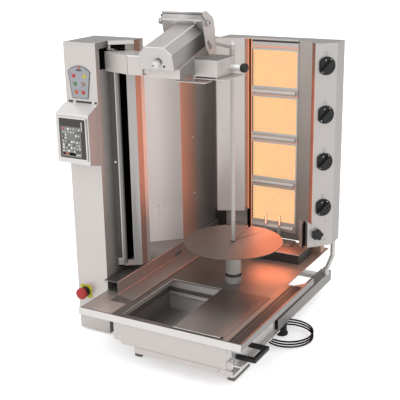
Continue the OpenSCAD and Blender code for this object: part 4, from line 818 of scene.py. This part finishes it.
def buildKeyPanel():
    p = keyPanel
    shares = [1 - 2 * k / p["archSteps"] for k in range(p["archSteps"] + 1)]
    arch = [(p["middle"] + s * p["wide"] / 2, p["shoulder"] + (1 - s * s) * p["arch"]) for s in shares]
    outline = p["foot"] + arch
    parts = [ringOn("keyPanelRim", [plainFront(x, p["front"], z) for x, z in outline], p["rim"], "slateEdge"),
             lathe("panelLamp", panelLamp["profile"], at(*panelLamp["spot"]), towardFront, 20, "keyOrange"),
             sheetOn("panelBar", plainFront, panelBar["outline"], panelBar["ends"], "slateEdge")]
    for k in range(6):
        x, z = keyPlace(k)
        spot = at(x + keyDot["shift"][0], p["front"], z + keyDot["shift"][1])
        parts.append(lathe("keyDot", keyDot["profile"], spot, towardFront, 16, "keyOrange"))
    onNode("keyPanelTrim", parts, "key_panel")
    for k in range(6):
        buildKey(k)


buildKeyPanel()
print("key panel done")

# display: bright bezel lip, glass with a plain scatter of touch keys
display = dict(left=-106, right=-33, low=646, high=740, columns=7, rows=9, seed=4,
               keyEnds=(110.1, 110.5), shift=0.12, wide=(0.22, 0.36), tall=(0.2, 0.34),
               looks=("white", "white", "keyPale", "keyPale", "keyMid", "glassRim", "glassRim"))
bezel = dict(front=109.4, bead=0.0012, outline=[(-119, 635), (-9, 635), (-9, 772), (-119, 772)])
bezelGrooves = dict(
    rightGroove=((-7.6, -5.4), (112.4, 113.4), (634, 773), "dim_z"),
    topGroove=((-120, -8), (112.4, 113.4), (773.3, 775), "mild_x"))
touchBlocks = dict(
    touchField=((-109, -31), (110.5, 111.2), (643, 742), "keySlate"),
    touchDark=((-105, -96), (110, 110.5), (649, 656), "hollow"),
    touchWarm=((-95, -82), (110, 110.5), (649, 656), "keyRose"),
    touchBlack=((-80, -56), (110, 110.5), (648, 657), "hollow"),
    touchBar=((-29, -25), (110, 110.6), (730, 760), "keyPale"))


def buildDisplay():
    d = display
    rng = random.Random(d["seed"])
    lip = ringOn("bezelLip", [at(x, bezel["front"], z) for x, z in bezel["outline"]], bezel["bead"], "edge_z")
    onNode("bezelTrim", [lip] + slabs(bezelGrooves), "hmi_housing")
    parts = slabs(touchBlocks)
    stepX, stepZ = (d["right"] - d["left"]) / d["columns"], (d["high"] - d["low"]) / d["rows"]
    for i in range(d["columns"]):
        for j in range(d["rows"]):
            if i in (2, 3, 4) and j in (5, 6) or j == 0 and i < 4:  # bare glass
                continue
            look = rng.choice(d["looks"])
            if i == 0 and j == d["rows"] - 1:
                look = "keyRed"
            x = d["left"] + stepX * (i + 0.5 + rng.uniform(-d["shift"], d["shift"]))
            z = d["low"] + stepZ * (j + 0.5 + rng.uniform(-d["shift"], d["shift"]))
            w, h = stepX * rng.uniform(*d["wide"]), stepZ * rng.uniform(*d["tall"])
            outline = [(x + p * w, z + q * h) for p, q in
                       ((1, 0.4), (0.4, 1), (-0.4, 1), (-1, 0.4), (-1, -0.4), (-0.4, -1), (0.4, -1), (1, -0.4))]
            parts.append(sheetOn("touchKey", plainFront, outline, d["keyEnds"], look))
    onNode("touchKeys", parts, "hmi_screen")


buildDisplay()
print("display done")

# stop button: mushroom head on a black ring and a yellow plate
stopButton = dict(spot=(-92, 170, 149), plate=46, corner=3, plateThick=2,
                  ring=[(0.0175, 0.002), (0.0175, 0.006), (0.0155, 0.0075), (0.0155, 0.0139), (0.0083, 0.0142),
                        (0.0083, 0.002)],
                  head=[(0.008, 0.0095), (0.008, 0.0205), (0.0165, 0.0212), (0.0193, 0.0228), (0.02, 0.0262),
                        (0.02, 0.0318), (0.0188, 0.0352), (0.0155, 0.0368), (0.008, 0.0373), (0, 0.0374)])


def buildStop():
    s = stopButton
    x, y, z = s["spot"]
    spot = at(x, y, z)
    outline = [(x + a, z + b) for a, b in rounded(s["plate"], s["plate"], s["corner"])]
    plate = sheetOn("stopPlate", plainFront, outline, (y - s["plateThick"], y), "yellow")
    ring = lathe("stopRing", s["ring"], spot, towardFront, 36, "black")
    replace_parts(onNode("stopPlateRing", [plate, ring], "stop_collar"), "stop_collar")
    head = lathe("stopHead", s["head"], spot, towardFront, 48)
    settle(head, nodeBody["stop_button"], "red")
    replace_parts(head, "stop_button")


buildStop()
print("stop button done")

# head: holes and stub on its end with a dark ring beside the stub as its painted shadow, near-white beads
# along its ridges as painted highlights, cover plate and seam on the arm, and a near-white strip on the arm
# as a painted highlight
head = dict(tilt=14.5, origin=(166, 172, 932))
headRounds = dict(
    headHole=((84, 0, 12.6), 20, "hollow",
              [(0.0034, 0.0003), (0.0032, 0.0008), (0.0022, 0.0006), (0.0022, 0.0004), (0, 0.0004)]),
    headStub=((62.5, 0, 22), 36, "pale_round",
              [(0.012, 0), (0.012, 0.0122), (0.0112, 0.0136), (0.0102, 0.014), (0, 0.0141)]),
    # a dark ring beside the stub: its painted shadow
    stubShadowRing=((68, 0, 28), 36, "dim_round", [(0.0115, 0.0002), (0.0115, 0.0009), (0.004, 0.001), (0, 0.001)]),
    stubHole=((55, -14, 20), 20, "hollow", [(0.0024, 0.0003), (0.0023, 0.0008), (0, 0.0008)]))
headRidgeHighlights = dict(bead=0.0011, lines=[((93, 0.4, 72), (93, 192, 72)), ((25, 0.4, 72), (93, 0.4, 72)),
                                      ((93, 0.4, 72), (117, 0.4, 47.5))])
housingTrim = dict(housingSeam=((117.2, 117.7), (4, 190), (46.5, 47.7), "dim_y"))
armTrim = dict(
    armCoverPlate=((157, 190), (183.5, 185), (916, 932), "satin_x"),
    armCoverHighlight=((112, 167), (177.6, 178.2), (966, 970.4), "edge_x"),
    armSeam=((111.2, 112.2), (177.5, 178.4), (911, 969), "dim_z"))


def headSpot(a, b, c):
    t = math.radians(head["tilt"])
    x, y, z = head["origin"]
    return at(x + a, y + b * math.cos(t) - c * math.sin(t), z + b * math.sin(t) + c * math.cos(t))


def buildHeadTrim():
    parts = [lathe(name, profile, headSpot(*spot), outward(headSpot), count, look)
             for name, (spot, count, look, profile) in headRounds.items()]
    parts += [ringOn("ridgeHighlightBead", [headSpot(*p) for p in line], headRidgeHighlights["bead"], "gleam", closed=False)
              for line in headRidgeHighlights["lines"]]
    onNode("headTrim", parts + slabs(armTrim) + slabs(housingTrim, headSpot), "head_housing")


buildHeadTrim()

# guard: groove across its back plate and a near-white band on its bend as a painted highlight, screws, slits
# in its right side, thumb knobs
hood = dict(wide=117, screwShares=(0.205, 0.795), screwRow=(198, 78), screwSize=1.2, knobHole=3.9,
            knobs=dict(hoodKnobLeft=("hood_knob_left", (-28, 205, 76), -1),
                       hoodKnobRight=("hood_knob_right", (120, 222, 68), 1)),
            knobProfile=[(0.0039, -0.0048), (0.0039, 0.0003), (0.0095, 0.0005), (0.0104, 0.0016),
                         (0.0104, 0.0036), (0.0085, 0.0044), (0.0085, 0.0078), (0.0101, 0.0088),
                         (0.0101, 0.0112), (0.0086, 0.0121), (0.004, 0.0121), (0.0036, 0.0104), (0, 0.0104)])
hoodTrim = dict(
    hoodGroove=((-25, 119), (205.5, 206.6), (96.5, 101.5), "dark_x"),
    hoodBendHighlight=((-25, 117), (197.2, 198.2), (82, 87), "edge_x"))
hoodSlits = dict(
    hoodSlitUpper=(0.0013, [(120.4, 201 + k * 3.4, 99 - k * 5.6) for k in range(4)]),
    hoodSlitLower=(0.0014, [(120.4, 213 + k * 2.5, 10 - k * 7) for k in range(5)]),
    hoodLeftFold=(0.0016, [(-28.6, 201, 100), (-28.6, 207, 72), (-28.6, 202, 8)]))


def buildHood():
    parts = slabs(hoodTrim, headSpot)
    for share in hood["screwShares"]:
        place = headSpot(hood["wide"] * share, *hood["screwRow"])
        parts.append(screwHead("hoodScrew", place, outward(headSpot), size=hood["screwSize"]))
    parts += [ringOn(name, [headSpot(*p) for p in line], bead, "hollow", closed=False)
              for name, (bead, line) in hoodSlits.items()]
    onNode("hoodTrim", parts, "blade_hood")
    for name, (node, place, way) in hood["knobs"].items():
        spot = headSpot(*place)
        y, z = spot.y * 1000 + middle["y"], spot.z * 1000
        knob = lathe(name, hood["knobProfile"], spot, towardRight * way, 32)
        settle(knob, nodeBody[node], "mild_round")
        paint(knob, "hollow",
              lambda c, n: abs(n.x) > 0.9 and math.hypot(c[1] - y, c[2] - z) < hood["knobHole"])
        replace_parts(knob, node)


buildHood()

# grip: black knob on a bright bar
grip = dict(spot=(411, 365, 922), radius=0.0145, length=0.02,
            collar=[(0.0102, -0.006), (0.0122, -0.005), (0.0122, -0.0015), (0.0102, -0.0004)],
            shaft=[(0.01015, -0.038), (0.01035, -0.036), (0.01035, -0.009), (0.01015, -0.007)])


def buildGrip():
    spot = at(*grip["spot"])
    r, l = grip["radius"], grip["length"]
    profile = [(r * 0.5, -0.0005), (r * 0.86, 0.0004), (r, l * 0.22), (r, l * 0.62), (r * 0.88, l * 0.88),
               (r * 0.6, l), (0, l)]
    knob = lathe("gripKnob", profile, spot, towardRight, 36)
    settle(knob, nodeBody["grip_knob"], "black")
    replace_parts(knob, "grip_knob")
    bar = [lathe("gripBar", grip[name], spot, towardRight, 32, "edge_x") for name in ("collar", "shaft")]
    onNode("gripBar", bar, "head_box")


buildGrip()
print("head done")

# spit: top pin, a black ring under the hub as its painted shadow, dark rings at the hub's and the rod's foot
spit = dict(x=345, y=430)
spitRounds = dict(
    spitPin=("spit_pin", "edge_z", 28,
             [(0.0039, 0.9505), (0.0039, 0.9795), (0.0068, 0.9797), (0.0072, 0.981), (0.0072, 0.9855),
              (0.0062, 0.9868), (0.0045, 0.988), (0.0045, 0.9925), (0.0034, 0.9938), (0, 0.9938)]),
    hubShadowRing=("drive_box", "hollow", 48,
                   [(0.0286, 0.19495), (0.0286, 0.1962), (0.0204, 0.1962), (0.0204, 0.19495)]),
    hubFoot=("spit_hub", "dark_round", 48,
             [(0.0262, 0.1975), (0.0272, 0.1982), (0.0272, 0.2035), (0.0268, 0.2045)]),
    rodFoot=("spit_rod", "dark_z", 32,
             [(0.0087, 0.3182), (0.0089, 0.3186), (0.0089, 0.3212), (0.0083, 0.3219), (0.0066, 0.3222)]))


def buildSpit():
    for name, (node, look, count, profile) in spitRounds.items():
        piece = lathe(name, profile, at(spit["x"], spit["y"], 0), upward, count)
        settle(piece, nodeBody[node], look)
        if node == "spit_pin":
            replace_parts(piece, node)


buildSpit()
print("spit done")

# burners: ledges over the tiles and strips in the channel beside them, orange and faintly glowing as the
# burners' light painted in as a reflection; lips over the frame's edges round the tiles that carry the tiles'
# own glow onto the frame; a black band in the recess over the top tile as painted shade
burner = dict(left=247, right=417, frameLeft=243, frameRight=423, face=789, tops=(917, 747, 577, 407),
              tall=130, lip=5.4, lipOut=0.6, ledge=3.2, ledgeOut=3, ledgeUp=(10, 8.5, 8.5, 8.5), sink=0.5)
tileSide = dict(left=242.6, right=246.4, out=1.2, past=1)
frameStrips = dict(
    # topRecess is a black band as painted shade; the channel strips glow orange as the burners' painted
    # reflected light
    topRecess=((243, 423), (788, 789.5), (945.5, 952), "glassRim"),
    frameSkirt=((243, 452), (787, 789.5), (214.5, 240), "dim_x"),
    channelLeft=((219, 225), (797, 799.8), (308, 954), "flame_z"),
    channelRight=((234, 241.5), (795, 799.8), (230, 954), "flame_z"))


def tileTrim(top, up):
    b = burner
    low, lip, back = top - b["tall"], b["lip"], b["face"] + b["sink"]
    depth = (b["face"] - b["lipOut"], back)
    # the ledge glows orange as the burners' painted reflected light; the lips glow as the tile does, over the
    # frame's edges
    return slabs(dict(
        tileLedge=((b["frameLeft"], b["frameRight"]), (b["face"] - b["ledgeOut"], back),
                   (top + up, top + up + b["ledge"]), "flame_x"),
        tileLipLow=((b["left"], b["right"]), depth, (low, low + lip), "tileGlow"),
        tileLipHigh=((b["left"], b["right"]), depth, (top - lip, top), "tileGlow"),
        tileLipLeft=((b["left"], b["left"] + lip), depth, (low + lip, top - lip), "tileGlow"),
        tileLipRight=((b["right"] - lip, b["right"]), depth, (low + lip, top - lip), "tileGlow"),
        tileSide=((tileSide["left"], tileSide["right"]), (b["face"] - tileSide["out"], back),
                  (low - tileSide["past"], top + tileSide["past"]), "dim_z")))


def buildBurnerTrim():
    parts = slabs(frameStrips)
    for top, up in zip(burner["tops"], burner["ledgeUp"]):
        parts += tileTrim(top, up)
    onNode("burnerTrim", parts, "burner_frame")


buildBurnerTrim()

# dials: skirted knobs with a turned grip, and a flame mark over each
dial = dict(middle=41, highs=(882, 713, 544, 375), front=-3.3, radius=31.5, flat=-26.5, skirt=6, plate=2.5,
            plateShare=0.9, gripTurn=45, gripFront=-24.5, gripHalf=6.5,
            gripShape=[(-25, 0.75), (-23, 1), (23, 1), (25, 0.75),
                       (25, -0.75), (23, -1), (-23, -1), (-25, -0.75)],
            dots=[(-6, 20), (14, 22), (-17, -20)], dotProfile=[(0.0023, 0), (0.0023 / 1.4, 0.0006), (0, 0.0007)],
            stem=[(0.004, 0), (0.004, 0.034)], stemBack=31, edge=0.0014)
dialMark = dict(front=-3.2, middle=39.5, up=43.5, radius=5.6, ringBead=0.0007, stemBead=0.0008,
                stem=[(40, 38), (41, 33.5)])


def buildDialMarks():
    m = dialMark
    parts = []
    for z in dial["highs"]:
        parts.append(ringOn("dialRing", circleOn(dialFace, m["middle"], m["front"], z + m["up"], m["radius"]),
                            m["ringBead"], "mark"))
        parts.append(ringOn("dialStem", [dialFace(a, m["front"], z + h) for a, h in m["stem"]], m["stemBead"],
                            "mark", closed=False))
    onNode("dialMarks", parts, "control_panel")


def buildDial(k, z):
    d = dial
    node = "gas_knob_%d" % (k + 1)
    turns = [2 * math.pi * j / 48 for j in range(48)]
    rim = [(max(d["radius"] * math.cos(t), d["flat"]), d["radius"] * math.sin(t)) for t in turns]
    skirtFront = d["front"] - d["skirt"]
    plateFront = skirtFront - d["plate"]
    c, s = math.cos(math.radians(d["gripTurn"])), math.sin(math.radians(d["gripTurn"]))
    half = d["gripHalf"]
    bar = [(d["middle"] + a * c - w * half * s, z + a * s + w * half * c) for a, w in d["gripShape"]]
    share = d["plateShare"]
    parts = [sheetOn("dialSkirt", dialFace, [(d["middle"] + p, z + q) for p, q in rim],
                     (skirtFront, d["front"]), "black"),
             sheetOn("dialPlate", dialFace, [(d["middle"] + p * share, z + q * share) for p, q in rim],
                     (plateFront, skirtFront), "black"),
             sheetOn("dialGrip", dialFace, bar, (d["gripFront"], skirtFront), "black"),
             lathe("dialStemShaft", d["stem"], dialFace(d["middle"], d["stemBack"], z), outward(dialFace), 20,
                   "bright_round")]
    parts += [lathe("dialDot", d["dotProfile"], dialFace(d["middle"] + a, plateFront, z + h),
                    outward(dialFace), 14, "white") for a, h in d["dots"]]
    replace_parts(onNode("gasKnob%d" % (k + 1), parts, node, d["edge"]), node)


starKnob = dict(lobes=5, radius=21, deep=15.5, turn=0.4, middle=(20, 275), ends=(-20.3, -5), edge=0.003,
                stem=[(0.004, 0), (0.004, 0.005)], stemBack=-0.2)


def buildStarKnob():
    s = starKnob
    a, z = s["middle"]
    outline = []
    for t in (2 * math.pi * j / 60 for j in range(60)):
        lobe = (0.5 + 0.5 * math.cos(s["lobes"] * t - s["turn"])) ** 0.8
        r = s["deep"] + (s["radius"] - s["deep"]) * lobe
        outline.append((a + r * math.cos(t), z + r * math.sin(t)))
    parts = [sheetOn("starLobes", dialFace, outline, s["ends"], "black"),
             lathe("starStem", s["stem"], dialFace(a, s["stemBack"], z), outward(dialFace), 20, "black")]
    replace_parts(onNode("starKnobSkin", parts, "star_knob", s["edge"], 3), "star_knob")


buildDialMarks()
for k, z in enumerate(dial["highs"]):
    buildDial(k, z)
buildStarKnob()
print("burners and dials done")

# table: apron, turned edge and gutter at its right, lines round the opening, raised step under the burners;
# the lines round the opening, the cover's lip and the step's front edge are near white as painted highlights,
# the gutter is dark and darker towards the back as painted shade, its rim and the step's top are orange as
# the burners' light painted in as a reflection, the step's front and the cover lip's end are near black as
# painted shade, the trough's fold lines are painted glints, and a dark plate in the gap between the column and
# the burner housing stands in for shade
tableTrim = dict(
    leftApron=((4, 56), (12, 168), (171, 171.3), "apron_y"),
    frontApron=((56, 119), (12, 100), (171, 171.3), "apron_y"),
    openingBackHighlight=((156, 500), (347, 349), (171, 171.7), "edge_x"),
    openingLeftHighlight=((152, 153.5), (33, 347), (171, 171.7), "edge_y"),
    turnedEdge=((511, 537), (14, 484), (171, 171.35), "strip_y"),
    gutterBank=((538, 549.4), (14, 484), (171, 171.3), "gutter_y"),
    gutterLine=((549.4, 550.6), (14, 484), (168.5, 171.3), "dim_y"),
    gutterFloor=((551, 584), (14, 484), (168.4, 171.3), "gutter_y"),
    gutterRim=((578.5, 582.5), (14, 484), (171.3, 171.7), "emberTop_y"))
coverTrim = dict(
    coverLip=((346, 511), (17.6, 18.7), (175.2, 176.7), "gleam"),
    coverLipEnd=((511, 518.6), (17.6, 24), (175.2, 176.8), "hollow"))
rearStepTrim = dict(
    rearStep=((300, 489), (664, 785), (171, 207), "glassRim"),
    rearStepTop=((300, 489), (665, 785), (207, 208), "emberTop_x"),
    rearStepHighlight=((300, 489), (663.2, 665), (206, 208.2), "edge_x"))
troughTrim = dict(bead=0.001,
                  lines=[((56, 148, 217.2), (56, 519, 217.2)), ((56, 567, 217.2), (56, 868, 217.2)),
                         ((58, 148, 174.6), (58, 702, 174.6)), ((130, 126, 176.8), (130, 705, 176.8))])
# a dark plate in the gap between the column and the burner housing, standing in for the shade behind it
gapShadePlate = dict(gapShadePlate=((43, 204), (863, 866), (176, 258), "dark_x"))


def buildTable():
    onNode("tableTrim", slabs(tableTrim), "table_top")
    onNode("coverTrim", slabs(coverTrim), "cover_plate")
    onNode("rearStepTrim", slabs(rearStepTrim), "table_top")
    folds = [ringOn("troughFold", [at(*p) for p in line], troughTrim["bead"], "glint_y", closed=False)
             for line in troughTrim["lines"]]
    onNode("gapShadePlate", slabs(gapShadePlate), "burner_housing")
    onNode("troughTrim", folds, "catch_trough")


buildTable()
print("table done")

# feet: turned rubber with a waist under the rails, flat pads under the legs, discs under the tower
feet = dict(spots=[(521, 448, 0.04), (340, 826, 0.064), (-40, 448, 0.04), (-40, 822, 0.04)],
            radius=0.021, waist=0.017)
legPads = dict(
    frontPad=((157, 181), (84, 118), (0, 12), "dim_y"),
    sidePad=((499, 523), (84, 194), (0, 12), "dim_y"))
towerFeet = dict(spots=[(-104, 191), (-104, 320), (-22, 191), (-22, 320)],
                 profile=[(0.008, 0), (0.009, 0.001), (0.009, 0.006)])


def buildFeet():
    r, w = feet["radius"], feet["waist"]
    parts = slabs(legPads)
    for x, y, h in feet["spots"]:
        profile = [(r * 0.9, 0), (r, 0.002), (r, 0.009), (w, 0.013), (w, h - 0.006), (w * 1.12, h)]
        parts.append(lathe("railFoot", profile, at(x, y, 0), upward, 36, "rubber"))
    parts += [lathe("towerFoot", towerFeet["profile"], at(x, y, 0), upward, 28, "rubber")
              for x, y in towerFeet["spots"]]
    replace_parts(onNode("rubberFeet", parts, "rubber_feet", 0.0008), "rubber_feet")


buildFeet()
print("feet done")

# floor, world and lamps
studio = dict(floor=0.95, lift=0.42, front=0.98, low=0.28, mid=0.62, high=1.05,
              side=0.5, diffuse=1.0, size=14.0)
roomLamps = dict(
    keyLamp=dict(spot=(-1.2, -2.6, 2.9), aim=(0, 0, 0.5), size=2.2, power=16.0),
    fillLamp=dict(spot=(2.6, -1.2, 1.9), aim=(0, 0, 0.4), size=1.8, power=5.0))
flameLight = dict(spot=(332, 772, 545), wide=0.17, tall=0.55, power=1.35,
                  colour=(1.0, 0.27, 0.14), spread=160)


def buildWorld():
    s = studio
    kit = Kit(bpy.data.worlds.new("studio"))
    bpy.context.scene.world = kit.owner
    x, y, z = kit.split(kit.node("TexCoord", {}, out=0))
    back = kit.mix(kit.ease(z, 0.35, 0.7), (s["low"],) * 3, (s["mid"],) * 3)
    back = kit.mix(kit.ease(z, 0.65, 0.85), back, (s["high"],) * 3)
    back = kit.mix(kit.ease(x, 0.1, 0.5) * (1.0 - kit.ease(z, 0.3, 0.7)), back, (s["side"],) * 3)
    sky = kit.mix(kit.ease(y, -0.5, 0.3), (s["front"],) * 3, back)
    seen, shiny, clear = (kit.node("LightPath", {}, out=k) for k in (0, 3, 6))
    level = kit.mix(shiny, (s["diffuse"],) * 3, sky)
    colour = kit.mix(seen + clear, level, (1.0, 1.0, 1.0))
    kit.finish(kit.node("Background", {}, colour, 1.0))


def buildFloor():
    half = studio["size"]
    floor = meshPiece("floor", [(x, y, -0.0005) for x, y in ((-half, -half), (half, -half), (half, half),
                                                            (-half, half))], [[0, 1, 2, 3]])
    kit = Kit(bpy.data.materials.new("floorPaper"))
    white = kit.mix(kit.noise(3.0, 2.0), (studio["floor"],) * 3, (studio["floor"] + 0.02,) * 3)
    lift = kit.mix(kit.node("LightPath", {}, out=0), (0.0, 0.0, 0.0), (studio["lift"],) * 3)
    paper = shader(kit, Base_Color=white, Roughness=1.0, Specular_IOR_Level=0.0, Emission_Color=lift,
                   Emission_Strength=1.0)
    floor.data.materials.append(kit.finish(paper))


def addLamp(name, spot, power, turn):
    data = bpy.data.lights.new(name, "AREA")
    data.energy = power
    lamp = bpy.data.objects.new(name, data)
    bpy.context.collection.objects.link(lamp)
    lamp.location, lamp.rotation_euler = spot, turn
    lamp.visible_camera = False
    return data


def buildLamps():
    for name, l in roomLamps.items():
        turn = (Vector(l["aim"]) - Vector(l["spot"])).to_track_quat("-Z", "Y").to_euler()
        data = addLamp(name, l["spot"], l["power"], turn)
        data.shape, data.size = "DISK", l["size"]
    f = flameLight
    data = addLamp("flameLamp", at(*f["spot"]), f["power"], (math.radians(-90), 0, 0))
    data.shape, data.size, data.size_y = "RECTANGLE", f["wide"], f["tall"]
    data.color, data.spread = f["colour"], math.radians(f["spread"])


buildWorld()
buildFloor()
buildLamps()
bpy.context.scene.view_settings.view_transform = "Standard"
print("studio done")
